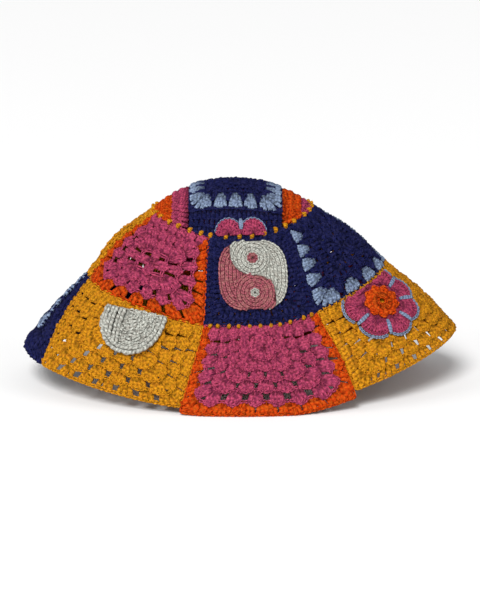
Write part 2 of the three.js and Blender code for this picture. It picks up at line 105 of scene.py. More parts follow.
# How a round's clusters are worked: their posts, how far apart these stand at the foot and at the
# head, each as a share of the cluster's width and in millimetres at most, how far the heads reach
# past their round at the cluster's middle and sides, and the outer feet back from its start, as
# shares of the round's depth, and the height that the feet lie at
Weave = namedtuple(
    "Weave", "posts foot_share most_foot head_share most_head dome foot_round foot_lift"
)
WEAVES = {
    "lace": Weave(3, 0.15, 1.5, 0.22, 2.35, (0.32, 0.12), 0.02, -2.3),
    "open": Weave(4, 0.12, 1.7, 0.21, 2.9, (0.32, 0.16), 0.04, -2.2),
    "snug": Weave(4, 0.12, 1.7, 0.21, 3.1, (0.36, 0.2), 0.04, -2.1),
    "slit": Weave(4, 0.11, 1.6, 0.21, 3.5, (0.29, 0.1), 0.02, -2.3),
    "tight": Weave(3, 0.27, 3.5, 0.31, 4.6, (0.6, 0.38), 0.0, -2.3),
    "close": Weave(3, 0.32, 4.3, 0.34, 5.0, (0.65, 0.45), 0.0, -2.2),
    "strip": Weave(3, 0.33, 4.6, 0.33, 4.6, (0.3, 0.25), 0.0, -1.8),
    "under_border": Weave(4, 0.12, 1.7, 0.18, 2.7, (0.44, 0.18), 0.04, -2.2),
    "tight_under_border": Weave(3, 0.26, 3.4, 0.2, 2.6, (0.6, 0.1), 0.0, -2.3),
    "edge": Weave(3, 0.2, 2.4, 0.33, 4.4, (0.05, 0.05), 0.0, -2.3),
    "blob_border": Weave(3, 0.11, 1.5, 0.29, 3.8, (0.1, -0.08), 0.1, -1.8),
    "full_border": Weave(5, 0.14, 2.2, 0.2, 3.5, (0.05, 0.05), 0.0, -2.3),
    "spaced_border": Weave(4, 0.13, 1.75, 0.2, 2.75, (0.03, -0.06), 0.28, -0.5),
    "border_ground": Weave(4, 0.25, 4.0, 0.25, 4.0, (0.0, 0.0), 0.0, -2.9),
}
# How many more clusters than its number a field round has at the sides of a cut square
CUT_SIDE_EXTRA = 2
# The weave of the last round inside a border, for fields whose own would cover the border's feet
UNDER_BORDER = {
    "slit": "under_border",
    "tight": "tight_under_border",
    "close": "tight_under_border",
}
# Where a cluster's feet and heads lie, and the chains over it, which hang below its heads by a
# share of its depth. The middle chain reaches to a share of the way to the outer heads
FOOT_RISE = -0.04
CORNER_FOOT = 0.93
SIDE_HEAD_LIFT = -0.6
MIDDLE_HEAD_LIFT = -0.2
JOINING_CHAIN_LIFT = -1.5
CHAIN_DROP = 0.12
JOINING_CHAIN_DROP = 0.2
MIDDLE_CHAIN_SHARE = 0.42
EDGE_LIFT = -1.5
GROUND_DROP = -1.6
# How thick the stitches of the cloth are, how far a stretched square widens its posts at most, and
# the length of the stitches along its edge
POST_GIRTH = 1.12
MOST_POST_WIDTH = 1.25
CHAIN_GIRTH = 0.9
EDGE_GIRTH = 1.0
EDGE_PITCH = 4.4

# A square: where it lies, the seam at its left, its ring, its rounds and how many of them lie above
# its middle, its half width, its field's yarn and weave, its border's yarn, weaves at the bottom
# and the sides, and its sides, its last round's clusters at the bottom and the sides, the yarn of
# its third last round, and how far its lower corners hang above the rim
Square = namedtuple(
    "Square",
    "place seam ring rounds half_width field weave border border_weave sides counts inner lifts",
)
ALL_BUT_TOP = "bottom right left"
WHOLE = (5, 5)
CUT = (6, 2)
PLAIN_EDGE = ("edge", "edge")
BLOBS = ("blob_border", "blob_border")
BAND_BELOW = ("full_border", "blob_border")
SPACED = ("spaced_border", "spaced_border")
LEVEL = (0, 0)
SQUARES = (
    Square("left", 0, "side", (4, 4), 43, "pink", "lace",
           "orange", BLOBS, ALL_BUT_TOP, (7, 7), None, LEVEL),
    Square("front", 1, "side", WHOLE, 36, "navy", "tight",
           None, PLAIN_EDGE, "", (6, 6), None, LEVEL),
    Square("right", 2, "side", WHOLE, 40, "navy", "tight",
           "light_blue", SPACED, ALL_BUT_TOP, (5, 5), None, LEVEL),
    Square("right_back", 3, "side", WHOLE, 40, "yellow", "tight",
           "light_blue", SPACED, "bottom left", (5, 5), None, LEVEL),
    Square("back", 4, "side", WHOLE, 40, "pink", "tight",
           "orange", BLOBS, ALL_BUT_TOP, (6, 7), None, LEVEL),
    Square("left_back", 5, "side", WHOLE, 40, "yellow", "tight",
           None, PLAIN_EDGE, "", (6, 6), None, LEVEL),
    Square("left", 0, "brim", CUT, 52, "yellow", "open",
           None, PLAIN_EDGE, "", (7, 6), None, (0, 4)),
    Square("front", 1, "brim", CUT, 57, "pink", "slit",
           "orange", BAND_BELOW, ALL_BUT_TOP, (7, 7), None, LEVEL),
    Square("right", 2, "brim", CUT, 60, "yellow", "snug",
           None, PLAIN_EDGE, "", (8, 6), None, (5, 0)),
    Square("right_back", 3, "brim", CUT, 62, "pink", "close",
           "orange", BAND_BELOW, ALL_BUT_TOP, (8, 7), None, LEVEL),
    Square("back", 4, "brim", CUT, 62, "yellow", "close",
           None, PLAIN_EDGE, "", (9, 6), None, LEVEL),
    Square("left_back", 5, "brim", CUT, 62, "navy", "close",
           None, PLAIN_EDGE, "", (9, 6), "light_blue", LEVEL),
)
SIDES = ("bottom", "right", "top", "left")

# The crown's middle square seen from above, and its neighbours
TOP_SQUARE = {"left": -37, "right": 30.5, "front": -29, "front_bow": 4, "back": 27}
TOP_BORDER_DEPTH = 11.0
LEFT_STRIP_EDGE = -48
RIGHT_STRIP_EDGE = 43
OUTER_PIECE_TRIM = math.radians(4)

# Motifs: the place of their middle on the cloth, and their sizes
CHAIN_PITCH = 3.5
FINE_CHAIN_PITCH = 2.8
# How far from the cloth a motif's stitches lie, and how thick they are
MOTIF_LIFT = 1.9
Laid = namedtuple("Laid", "lift girth")
# A sheet of yarn under a motif's stitches: its faces across and down, its height and its thickness
Backing = namedtuple("Backing", "columns rows height thickness")

DISC = {"angle": 9.4, "level": 0.94, "half_width": 24.2, "half_height": 25.3, "squareness": 2.8}
DISC_BEND = {"reach": 15.6, "height": 17}
ROSE_EYE = {"x": -0.2, "y": 11.7, "radius": 3.9}
CREAM_EYE = {"x": 0.5, "y": -12.7, "radius": 3.2}
DISC_STITCHES = Laid(MOTIF_LIFT, 1.15)
DISC_BACKING = Backing(14, 40, 1.7, 1.0)
DISC_ROW_PITCH = 2.7
# Rings round an eye: the gap between them and it, how far they reach over the disc, and how far
# they keep from the bend and from the disc's edge
FIRST_RING_GAP = 1.5
DISC_HEAD_RADIUS = 13.0
DISC_RING_REACH = 17.0
RING_BEND_GAP = 0.9
RING_EDGE_GAP = 1.0
# Rows that follow the outline: how many, how far in the first lies, how far they keep from the
# rings and from the bend, and how far they run past the disc's middle
OUTLINE_ROWS = 7
FIRST_ROW_INSET = 1.4
ROW_RING_GAP = 0.9
ROW_BEND_GAP = 1.2
ROW_OVERLAP = 2
BACKING_INSET = 0.6
BACKING_END = 0.02

EYE_RAY_STEP = 60
EYE_RAY_START = 0.5
EYE_RAY_REACH = 0.8
EYE_RIM_SHARE = 0.75
EYE_RIM_PITCH = 2.4
EYE_RAYS = Laid(2.4, 0.8)
EYE_RIM = Laid(2.7, 0.8)

# The flower: the turns of the dips between its petals, the petals with a loop round them, the
# turns of its spokes, and the levels between which it lies on the cloth
FLOWER = {
    "angle": 57.6, "level": 2.46, "stretch": 1.12, "centre": 11.0, "petals": 27.0,
    "dips": (-148, -92, -46, 0, 45, 100, 155, 212), "edged": (0, 1, 2, 3, 4, 6),
    "spokes": (-148, -92, -46, 0, 45), "lowest_level": 2.03, "highest_level": 4.0,
}
LEVEL_MARGIN = 0.01
# How much of a stitch is left at least, and taken off at a time, where a seam cuts it
LEAST_STITCH = 0.2
STITCH_CUT = 0.1
PETAL_WIDTH = 1.2
PETAL_ROUNDNESS = 0.7
PETAL_FOOT = 0.12
PETAL_POSTS = 13
# How large a petal's stitches and its edging are drawn, as shares of the petal, and how far round
# its tip its posts, its rim and its edging go
PETAL_SHARE = 0.95
EDGING_SHARE = 1.03
POSTS_TURN = 100
RIM_TURN = 85
EDGING_TURN = 62
POST_START = 0.08
INNER_RIM_SHARE = 0.55
SPOKE_START = 0.2
SPOKE_END = 0.93
PETAL_STITCHES = Laid(MOTIF_LIFT, 0.8)
PETAL_RIM = Laid(MOTIF_LIFT + 0.3, 0.7)
EDGING = Laid(1.8, 0.72)
SPOKES = Laid(2.4, 0.95)
PETAL_BACKING = Backing(64, 8, 1.2, 0.7)
PETAL_BACKING_SHARE = 0.8
BACKING_TRIM = 0.93
BACKING_TRIMS = 12

CENTRE_LOBES = 9
LOBE_LEAN = 0.48
CENTRE_POSTS_FROM = 3.4
CENTRE_POSTS_TO = 11.2
CENTRE_HOLE_RADIUS = 3.2
CENTRE_HOLE_PITCH = 2.6
CENTRE_POSTS = Laid(2.2, 1.45)
CENTRE_HOLE = Laid(2.9, 0.8)
CENTRE_HEADS = Laid(2.3, 1.2)
CENTRE_BACKING = Backing(40, 4, 1.2, 0.6)
CENTRE_BACKING_RADII = (3.8, 10.5)

# The half flower's two fans: their size and spoke, then what share of it their posts, their rim
# and their loops are drawn at, and the turns that these cover
HALF_FLOWER = {
    "angle": 6.4, "level": -0.02, "petal_middle": 8.7, "half_width": 8.8, "height": 11.6,
    "foot": 0.2, "spoke": (3.4, 11.4),
}
FAN_POSTS = 11
FAN_POST_SHARE, FAN_POST_TURNS = 0.92, (2, 178)
FAN_RIM_SHARE, FAN_RIM_TURNS = 0.93, (4, 176)
FAN_LOOP_SHARE = 1.06
FAN_LOOP_TURNS = {-1: (30, 168), 1: (12, 150)}
FAN_STITCHES = Laid(MOTIF_LIFT, 0.8)
FAN_RIM = Laid(MOTIF_LIFT, 0.75)
FAN_LOOPS = Laid(1.6, 0.62)
FAN_SPOKE = Laid(2.6, 1.0)

# The shell patch: its sizes, the points of a line in its drawing, the shares of its size that its
# rows lie at, the length of the stitches in its rows, ribs, rim and top edge, and how far its rows
# stray
SHELL = {
    "angle": -40.2, "level": 2.09, "half_width": 23.8, "drop": 32, "roundness": 2.3, "tilt": -6,
}
SHELL_POINTS = 100
SHELL_ROWS = np.arange(0.1, 0.92, 0.115)
SHELL_ROWS_START = -0.42
SHELL_ROW_PITCH, SHELL_RIB_PITCH, SHELL_RIM_PITCH, SHELL_TOP_PITCH = 3.6, 5.0, 4.6, 3.4
SHELL_SCATTER = 0.85
# The height of its rows, how far each is raised or lowered, and how thick it is
SHELL_ROW_LIFT = 1.8
SHELL_ROW_RISES = (-0.3, 0.6)
SHELL_ROW_GIRTHS = (1.15, 1.6)
# Each rib's place across the patch and how thick it is. Ribs wave a little on their way down
SHELL_RIBS = ((-0.84, 1.6), (-0.6, 1.9), (-0.34, 1.8))
RIB_POWER = 2.3
RIB_FALL_POWER = 0.43
RIB_TOP = -0.8
RIB_REACH = 0.86
RIB_WAVE = 1.2
RIB_WAVE_LENGTH = 7
RIB_LIFT = 2.4
RIB_LIFT_OF_GIRTH = 0.6
SHELL_RIM_SHARE = 0.93
SHELL_RIM_START = -0.85
SHELL_RIM = Laid(3.0, 2.0)
SHELL_TOP_SPAN = (-4, 24)
SHELL_TOP_Y = -1.0
SHELL_TOP = Laid(2.4, 1.1)
SHELL_BACKING = Backing(30, 24, 1.5, 0.9)
SHELL_BACKING_WIDTH = 0.97
SHELL_BACKING_DROP = 0.95

# Sewing: the turns between which a row of stitches runs, how far apart they stand and how long
# they are, with the millimetres that a degree of turn takes at each seam
Sewing = namedtuple("Sewing", "first last pitch length")
TOP_SEWING = Sewing(-180, 180, 9.4, 3.4)
FRONT_SEWING = Sewing(-15.5, 37.5, 8.0, 3.2)
BACK_SEWING = Sewing(159.5, 219, 8.0, 3.2)
FLOWER_SEWING = Sewing(40, 98, 4.2, 3.0)
TOP_DEGREE = 0.93
MIDDLE_DEGREE = 1.6
SEWING_SCATTER = 0.12
SEWING_SLANT = (0.5, 0.25)
TOP_YARN = Laid(0.3, 1.45)
MIDDLE_YARN = Laid(0.3, 1.25)
THREAD = Laid(0.2, 0.5)

# Yarn: how far its plies take to wind round once, the grain of its fuzz and of its flecks, the
# noise at which flecks begin and are full, and how strongly each of these shades and swells it
PLY_PITCH = 2.4
FUZZ_SCALE = 620.0
FLECK_SCALE = 420.0
FLECK_RANGE = (0.46, 0.62)
SHADE_OF_TONE = 0.92
# Shares of the shade mix: tone and ply paint shade at posts' feet and in the grooves between plies
SHADE_OF_FUZZ = 1.5
SHADE_OF_PLY = 0.28
SHADE_BASE = 0.84
RELIEF_OF_PLY = 0.6
RELIEF_OF_FUZZ = 0.7
BUMP_STRENGTH = 0.6
BUMP_HEIGHT = 0.0006
SHEEN = 0.05
# Each yarn's fleck and how strongly it shows
FLECKS = {
    "navy": ((0.03, 0.03, 0.10), 0.35),
    "pink": ((0.13, 0.012, 0.05), 0.5),
    "orange": ((0.62, 0.12, 0.01), 0.4),
    "yellow": ((0.52, 0.17, 0.012), 0.35),
    "light_blue": ((0.07, 0.09, 0.20), 0.3),
    "cream": ((0.26, 0.22, 0.19), 0.35),
    "rose": ((0.36, 0.18, 0.15), 0.4),
}
# Tones: how far stitches differ at random, the tone at a post's foot, darkened there as painted
# shade, how far up a post's tones the other stitches lie, and the tones of the sheets under motifs,
# darkened as painted shade where they show between the stitches
TONE_SPREAD = 0.16
FOOT_SHADE_TONE = 0.15
HEAD_CHAIN_RISE = 0.75
BACKING_SHADE_TONE = 0.45
GROOVE_SHADE_TONE = -0.15

# Stitches, with their sizes as shares of a strand's radius and of their length
POST_LENGTH = 7.5
POST_STRAND_GAP = 0.8
POST_END_GIRTH = 0.74
POST_THINNING = (0.1, 0.98)
BODY_WIDTH = 1.75
BODY_DEPTH = 1.2
CHAIN_LENGTH = 4.5
# A stitch of two strands that part and meet again: their girth and cuts, how thin they end and how
# that comes on, how far apart they end, bulge and lean, how high they arch and how low they start,
# and where they start and end
Loop = namedtuple("Loop", "girth cuts end_girth thinning power apart bulge lean arch dip reach")
LOOPS = {
    "chain": Loop(0.86, 2, 0.5, (0.04, 1), 0.6, 0.15, 0.95, 1.25, 0.5, 0.35, (-0.14, 1.16)),
    "braid": Loop(0.9, 3, 0.72, (0.02, 0.98), 0.5, 0.5, 0.35, 1, 0.3, 0.2, (-0.1, 1.12)),
}
WHIP_LENGTH = 7.0
WHIP_GIRTH = 1.25
WHIP_END_GIRTH = 0.7
WHIP_ARCH = 1.5
WHIP_SINK = 0.9
BAR_LENGTH = 12.0
BAR_GIRTH = 0.85
BAR_END_GIRTH = 0.6
BAR_ARCH = 0.8
BAR_MIDDLE_LIFT = 0.25
BAR_SPACING = 1.15

# The stage. Each studio light has a name, a place, a size in metres and a power in watts
CAMERA_AIM = (0, 0, 0.060)
CAMERA_ELEVATION = math.radians(15)
CAMERA_DISTANCE = 2.2
CAMERA_LENS = 180
CAMERA_RANGE = 20
FLOOR_SIZE = 14
FLOOR_TONE = 0.92
FLOOR_ROUGHNESS = 0.9
STUDIO_LIGHTS = (
    ("left_fill_light", (-2.2, -1.0, 1.1), 1.5, 16),
    ("right_fill_light", (2.2, -1.0, 1.1), 1.5, 12),
)
SKY_STRENGTH = 0.33
KEY_STRENGTH = 3.2
KEY_TURN = (math.radians(48), 0, math.radians(-14))
KEY_WIDTH = math.radians(24)

# Seeds of the random draws. Those of the squares and of the strips count up from their first
SQUARE_SEED = 100
TOP_SQUARE_SEED = 200
STRIP_SEED = 210
DISC_SEED = 31
EYE_SEED = 41
PETAL_SEED = 51
EDGING_SEED = 52
FAN_SEED = 55
FAN_EDGING_SEED = 56
CENTRE_SEED = 61
SHELL_SCATTER_SEED = 70
SHELL_SEED = 71
SEWING_SEED = 300
TOP_SEAM_SEED = 301
MIDDLE_SEAM_SEED = 302


def lerp(start, end, share):
    return start + (end - start) * share


# The cloth

def smooth_row(table, level):
    """Rows of a table at levels between its own, on a smooth curve through them."""
    last = len(table) - 1
    index = np.clip(np.floor(level).astype(int), 0, last - 1)
    share = (level - index)[..., None]
    here, following = table[index], table[index + 1]
    before = np.where((index > 0)[..., None], table[np.maximum(index - 1, 0)], 2 * here - following)
    after = np.where(
        (index < last - 1)[..., None], table[np.minimum(index + 2, last)], 2 * following - here
    )
    slope = (following - before) / 2
    next_slope = (after - here) / 2
    bend = 3 * (following - here) - 2 * slope - next_slope
    twist = slope + next_slope - 2 * (following - here)
    return here + share * (slope + share * (bend + share * twist))


def section_at(level):
    """The section's six sizes at an array of levels."""
    return np.moveaxis(smooth_row(SECTIONS, np.maximum(level, TOP_SEAM)), -1, 0)


def rise(angle, left_rise, right_rise):
    """How far the two sides of a section lie above its front."""
    flat = np.sin(np.where(np.sin(angle) < 0, FLAT_LEFT, FLAT_RIGHT))
    share = np.maximum(0, np.abs(np.sin(angle)) - flat) / (1 - flat)
    return np.where(np.sin(angle) < 0, left_rise, right_rise) * share**RISE_POWER


def cloth_point(angle, level):
    """A point of the cloth's outer face: angle 0 is in front, level 0 at the top seam, 4 at the rim."""
    middle_x, half_width, half_depth, front_z, left_rise, right_rise = section_at(level)
    spread = np.clip(1 + level, 0, 1)
    edge_height = front_z + rise(angle, left_rise, right_rise)
    crown = np.where(
        level < TOP_SEAM, (CROWN_HEIGHT - edge_height) * (1 - spread**CROWN_ROUNDNESS), 0
    )
    return np.stack([
        middle_x + half_width * spread * np.sin(angle),
        -half_depth * spread * np.cos(angle),
        edge_height + crown,
    ], -1)


def unit(vectors):
    return vectors / np.linalg.norm(vectors, axis=-1, keepdims=True)


def cloth_normal(angle, level, step):
    """The outward direction, taken from one side of a seam or the other by the step's sign."""
    here = cloth_point(angle, level)
    along = cloth_point(angle + SMALL_STEP, level) - here
    down = (cloth_point(angle, level + step) - here) * np.sign(step)[..., None]
    return unit(np.cross(down, along))


def on_cloth(angle, level, height):
    """Points that stand off the cloth by a height."""
    upwards = (level < TOP_SEAM) | (level > RIM - 2 * SMALL_STEP)
    step = np.where(upwards, -SMALL_STEP, SMALL_STEP)
    return cloth_point(angle, level) + cloth_normal(angle, level, step) * height[..., None]


def angle_of_step(step, level):
    """Even steps round an oval become the angle that its sine and cosine take."""
    half_width, half_depth = section_at(level)[1:3]
    flatness = (half_width - half_depth) / (half_width + half_depth)
    return step - flatness / 2 * np.sin(2 * step)


def deepen_border(share, border, rounds):
    """Moves the last round's inner line, in a share from -1 to 1, to where its depth is border."""
    field = (rounds - 1) / rounds
    reach = np.abs(share)
    inside = reach / field * (1 - border)
    outside = 1 - border + (reach - field) * border / (1 - field)
    return np.sign(share) * np.where(reach < field, inside, outside)


def true_size(square):
    """Half a square's width on the cloth, and how far it reaches down from its middle."""
    rounds, above = square.rounds
    return square.half_width, SQUARE_HEIGHT / (1 + above / rounds)


def square_place(square):
    """Lays a granny square's flat drawing between its two levels and two upright seams."""
    top, bottom = (TOP_SEAM, MIDDLE_SEAM) if square.ring == "side" else (MIDDLE_SEAM, RIM)
    gap_across = SEAM_GAP / 4 / square.half_width
    gap_down = SEAM_GAP / 2 / LEVEL_HEIGHT
    rounds, above = square.rounds
    border_across, border_down = (
        BORDER_DEPTH / size if square.border else 1 / rounds for size in true_size(square)
    )
    reach_up = deepen_border(np.array(above / rounds), border_down, rounds)
    next_seam = (square.seam + 1) % len(SEAM_COLUMNS)
    full_turn = 360 if next_seam == 0 else 0

    def place(x, y, height):
        across = (deepen_border(x / HALF_SQUARE, border_across, rounds) + 1) / 2
        down = (reach_up - deepen_border(y / HALF_SQUARE, border_down, rounds)) / (reach_up + 1)
        lift = gap_down
        if bottom == RIM:
            lift = (lerp(*square.lifts, across) + RIM_INSET) / LEVEL_HEIGHT
        level = lerp(top + gap_down, bottom - lift, down)
        steps = smooth_row(SEAM_STEPS, level)
        turn = lerp(
            steps[..., square.seam],
            steps[..., next_seam] + full_turn,
            lerp(gap_across, 1 - gap_across, across),
        )
        return on_cloth(angle_of_step(np.radians(turn), level), level, height)

    return place


def crown_place(x, y, height):
    """The crown's cloth over a point of its plan."""
    middle_x, half_width, half_depth = SECTIONS[TOP_SEAM][:3]
    across = (x - middle_x) / half_width
    depth = -y / half_depth
    level = np.minimum(np.hypot(across, depth) - 1, -SMALL_STEP)
    return on_cloth(np.arctan2(across, depth), level, height)


def top_seam_depth(x):
    """How far in front of or behind the middle the top seam runs at an x."""
    middle_x, half_width, half_depth = SECTIONS[TOP_SEAM][:3]
    share = (x - middle_x) / (half_width - SEAM_GAP)
    return (half_depth - SEAM_GAP) * np.sqrt(1 - share * share)


def locator(angle, level):
    """Carries a motif's drawing, made in the plane that touches the cloth at a place, onto it."""
    start_angle, start_level = np.array(math.radians(angle)), np.array(float(level))
    origin = cloth_point(start_angle, start_level)
    normal = cloth_normal(start_angle, start_level, np.array(SMALL_STEP))
    right = unit(np.cross((0, 0, 1), normal))
    up = np.cross(normal, right)

    def locate(x, y):
        target = origin + x[..., None] * right + y[..., None] * up
        angles, levels = np.full(x.shape, float(start_angle)), np.full(x.shape, float(level))
        for _ in range(LAYING_ROUNDS):
            point = cloth_point(angles, levels)
            along = (cloth_point(angles + SMALL_STEP, levels) - point) / SMALL_STEP
            down = (cloth_point(angles, levels + SMALL_STEP) - point) / SMALL_STEP
            miss = target - point
            area = (along @ right) * (down @ up) - (down @ right) * (along @ up)
            angles = angles + ((miss @ right) * (down @ up) - (down @ right) * (miss @ up)) / area
            levels = levels + ((along @ right) * (miss @ up) - (along @ up) * (miss @ right)) / area
        return angles, levels

    return locate


def motif_place(motif):
    locate = locator(motif["angle"], motif["level"])

    def place(x, y, height):
        return on_cloth(*locate(x, y), height)

    return place


# Materials

class Value:
    """A socket that carries a number. Sums and products of it add their Math nodes."""

    def __init__(self, wires, socket):
        self.wires = wires
        self.socket = socket

    def math(self, operation, *others):
        sockets = {index + 1: other for index, other in enumerate(others)}
        made = self.wires.node("ShaderNodeMath", {"operation": operation}, {0: self, **sockets})
        return Value(self.wires, made.outputs[0])

    def __add__(self, other):
        return self.math("ADD", other)

    def __mul__(self, other):
        return self.math("MULTIPLY", other)

    def __sub__(self, other):
        return self.math("SUBTRACT", other)

    def __rsub__(self, other):
        return self * -1 + other

    __radd__ = __add__
    __rmul__ = __mul__

    def sine(self):
        return self.math("SINE")

    def cosine(self):
        return self.math("COSINE")


class Wires:
    """A material's nodes."""

    def __init__(self, name):
        self.material = bpy.data.materials.new(name)
        self.material.use_nodes = True
        self.tree = self.material.node_tree
        self.shader = self.tree.nodes["Principled BSDF"]

    def node(self, kind, settings=None, sockets=None):
        """Adds a node, sets its settings, then gives its sockets their values or links."""
        made = self.tree.nodes.new(kind)
        for setting, value in (settings or {}).items():
            setattr(made, setting, value)
        self.plug(made, sockets or {})
        return made

    def plug(self, node, sockets):
        for socket, value in sockets.items():
            if isinstance(value, Value):
                value = value.socket
            if isinstance(value, bpy.types.NodeSocket):
                self.tree.links.new(value, node.inputs[socket])
            else:
                node.inputs[socket].default_value = value

    def value(self, kind, output, settings=None, sockets=None):
        return Value(self, self.node(kind, settings, sockets).outputs[output])

    def mix(self, share, first, second):
        """One colour passing into another."""
        made = self.node("ShaderNodeMix", {"data_type": "RGBA"}, {0: share})
        inputs = {socket.identifier: index for index, socket in enumerate(made.inputs)}
        self.plug(made, {inputs["A_Color"]: first, inputs["B_Color"]: second})
        return next(o for o in made.outputs if o.identifier == "Result_Color")


def tinted(colour, strength):
    return tuple(min(1.0, channel * strength) for channel in colour) + (1.0,)


def yarn_material(yarn):
    """Matte cotton yarn: two winding plies with painted shade between, flecks and a tone per stitch."""
    name = f"{yarn}_cotton"
    if name in bpy.data.materials:
        return bpy.data.materials[name]
    looks = bpy.context.scene.hat_yarns
    colour = tuple(getattr(looks, yarn))
    wires = Wires(name)
    place = wires.node("ShaderNodeTexCoord").outputs["Object"]
    ply = wires.node("ShaderNodeAttribute", {"attribute_name": "ply"}).outputs["Vector"]
    tone = wires.value("ShaderNodeAttribute", "Fac", {"attribute_name": "tone"})
    parts = wires.node("ShaderNodeSeparateXYZ", None, {0: ply})
    along, cosine, sine = (Value(wires, parts.outputs[index]) for index in range(3))
    phase = along * (2 * math.pi / PLY_PITCH)
    wave = phase.sine() * cosine + phase.cosine() * sine
    fuzz = wires.value("ShaderNodeTexNoise", "Fac", None, {
        "Vector": place, "Scale": FUZZ_SCALE, "Detail": 3.0,
    })
    flecks = wires.value("ShaderNodeTexNoise", "Fac", None, {
        "Vector": place, "Scale": FLECK_SCALE, "Detail": 1.0,
    })
    fleck_share = wires.value("ShaderNodeMapRange", 0, {"clamp": True}, {
        "Value": flecks, "From Min": FLECK_RANGE[0], "From Max": FLECK_RANGE[1],
        "To Max": FLECKS[yarn][1],
    })
    # Painted shade: darker in the grooves between the plies and, through the tone, at posts' feet
    depth = tone * SHADE_OF_TONE + fuzz * SHADE_OF_FUZZ + wave * SHADE_OF_PLY - SHADE_BASE
    shade = wires.mix(depth, tinted(colour, looks.shade_low), tinted(colour, looks.shade_high))
    painted = wires.mix(fleck_share, shade, tinted(FLECKS[yarn][0], 1))
    relief = wave * RELIEF_OF_PLY + fuzz * RELIEF_OF_FUZZ
    bump = wires.node("ShaderNodeBump", None, {
        "Strength": BUMP_STRENGTH, "Distance": BUMP_HEIGHT, "Height": relief,
    })
    wires.plug(wires.shader, {
        "Base Color": painted,
        "Roughness": looks.roughness,
        "Specular IOR Level": SHEEN,
        "Normal": bump.outputs["Normal"],
    })
    return wires.material


# Stitches, each modelled once: across in x, along from 0 to 1 in z, and out of the cloth in -y

Stitch = namedtuple("Stitch", "points corners sizes ply")


def deselect_all():
    if bpy.context.object and bpy.context.object.mode != "OBJECT":
        bpy.ops.object.mode_set(mode="OBJECT")
    bpy.ops.object.select_all(action="DESELECT")


def add_strand(radius, sides, cuts, length):
    """A straight round strand from 0 to 1 along z, with its place along and round it noted."""
    deselect_all()
    bpy.ops.mesh.primitive_cylinder_add(
        vertices=sides, radius=radius, depth=1, location=(0, 0, 0.5), end_fill_type="NGON"
    )
    bpy.ops.object.transform_apply(location=True, rotation=False, scale=False)
    strand = bpy.context.object
    bpy.ops.object.mode_set(mode="EDIT")
    bpy.ops.mesh.select_mode(type="EDGE")
    bpy.ops.mesh.select_all(action="DESELECT")
    body = bmesh.from_edit_mesh(strand.data)
    for edge in body.edges:
        edge.select_set(abs(edge.verts[0].co.z - edge.verts[1].co.z) > 0.5)
    bmesh.update_edit_mesh(strand.data)
    bpy.ops.mesh.subdivide(number_cuts=cuts)
    bpy.ops.object.mode_set(mode="OBJECT")
    points = mesh_points(strand.data)
    around = np.arctan2(points[:, 1], points[:, 0])
    ply = np.stack([points[:, 2] * length, np.cos(around), np.sin(around)], -1)
    note = strand.data.attributes.new("ply", "FLOAT_VECTOR", "POINT")
    note.data.foreach_set("vector", ply.astype(np.float32).ravel())
    return strand


def mesh_points(mesh):
    points = np.zeros(len(mesh.vertices) * 3, np.float32)
    mesh.vertices.foreach_get("co", points)
    return points.reshape(-1, 3).astype(float)


def move_points(thing, move):
    """Moves a mesh's points: move takes and gives arrays of x, y and z."""
    moved = np.stack(move(*mesh_points(thing.data).T), -1)
    thing.data.vertices.foreach_set("co", moved.astype(np.float32).ravel())
    thing.data.update()


def copy_of(thing):
    deselect_all()
    thing.select_set(True)
    bpy.context.view_layer.objects.active = thing
    bpy.ops.object.duplicate()
    return bpy.context.object


def join(things):
    deselect_all()
    for thing in things:
        thing.select_set(True)
    bpy.context.view_layer.objects.active = things[0]
    bpy.ops.object.join()
    return bpy.context.object


def twist(thing, turns):
    deselect_all()
    thing.select_set(True)
    bpy.context.view_layer.objects.active = thing
    bpy.ops.object.modifier_add(type="SIMPLE_DEFORM")
    winding = thing.modifiers[-1]
    winding.deform_method = "TWIST"
    winding.deform_axis = "Z"
    winding.angle = 2 * math.pi * turns
    bpy.ops.object.modifier_apply(modifier=winding.name)


def taken_stitch(thing):
    """Reads a modelled stitch for copying, and clears its object away."""
    mesh = thing.data
    corners = np.zeros(len(mesh.loops), np.int32)
    sizes = np.zeros(len(mesh.polygons), np.int32)
    ply = np.zeros(len(mesh.vertices) * 3, np.float32)
    mesh.loops.foreach_get("vertex_index", corners)
    mesh.polygons.foreach_get("loop_total", sizes)
    mesh.attributes["ply"].data.foreach_get("vector", ply)
    stitch = Stitch(mesh_points(mesh), corners, sizes, ply.reshape(-1, 3))
    bpy.data.objects.remove(thing)
    return stitch


def strand_radius():
    return bpy.context.scene.hat_stitches.strand_radius / MM


def arched(along):
    """A share that rises from 0 at a stitch's ends to 1 at its middle."""
    return np.sin(math.pi * along)


def model_post():
    """The upright of a double crochet: two strands wound round a flat body, drawn in at the ends."""
    radius = strand_radius()
    gap = radius * POST_STRAND_GAP
    first = add_strand(radius, 5, 3, POST_LENGTH)
    second = copy_of(first)
    move_points(first, lambda x, y, z: (x + gap, y, z))
    move_points(second, lambda x, y, z: (-x - gap, -y, z))
    wound = join([first, second])
    twist(wound, bpy.context.scene.hat_stitches.post_turns)
    body = add_strand(radius, 6, 2, POST_LENGTH)
    move_points(body, lambda x, y, z: (x * BODY_WIDTH, y * BODY_DEPTH, z))
    post = join([wound, body])

    def draw_in(x, y, z):
        fullness = np.sqrt(np.maximum(0, arched(lerp(*POST_THINNING, z))))
        girth = lerp(POST_END_GIRTH, 1, fullness)
        return x * girth, y * girth, z

    move_points(post, draw_in)
    return taken_stitch(post)


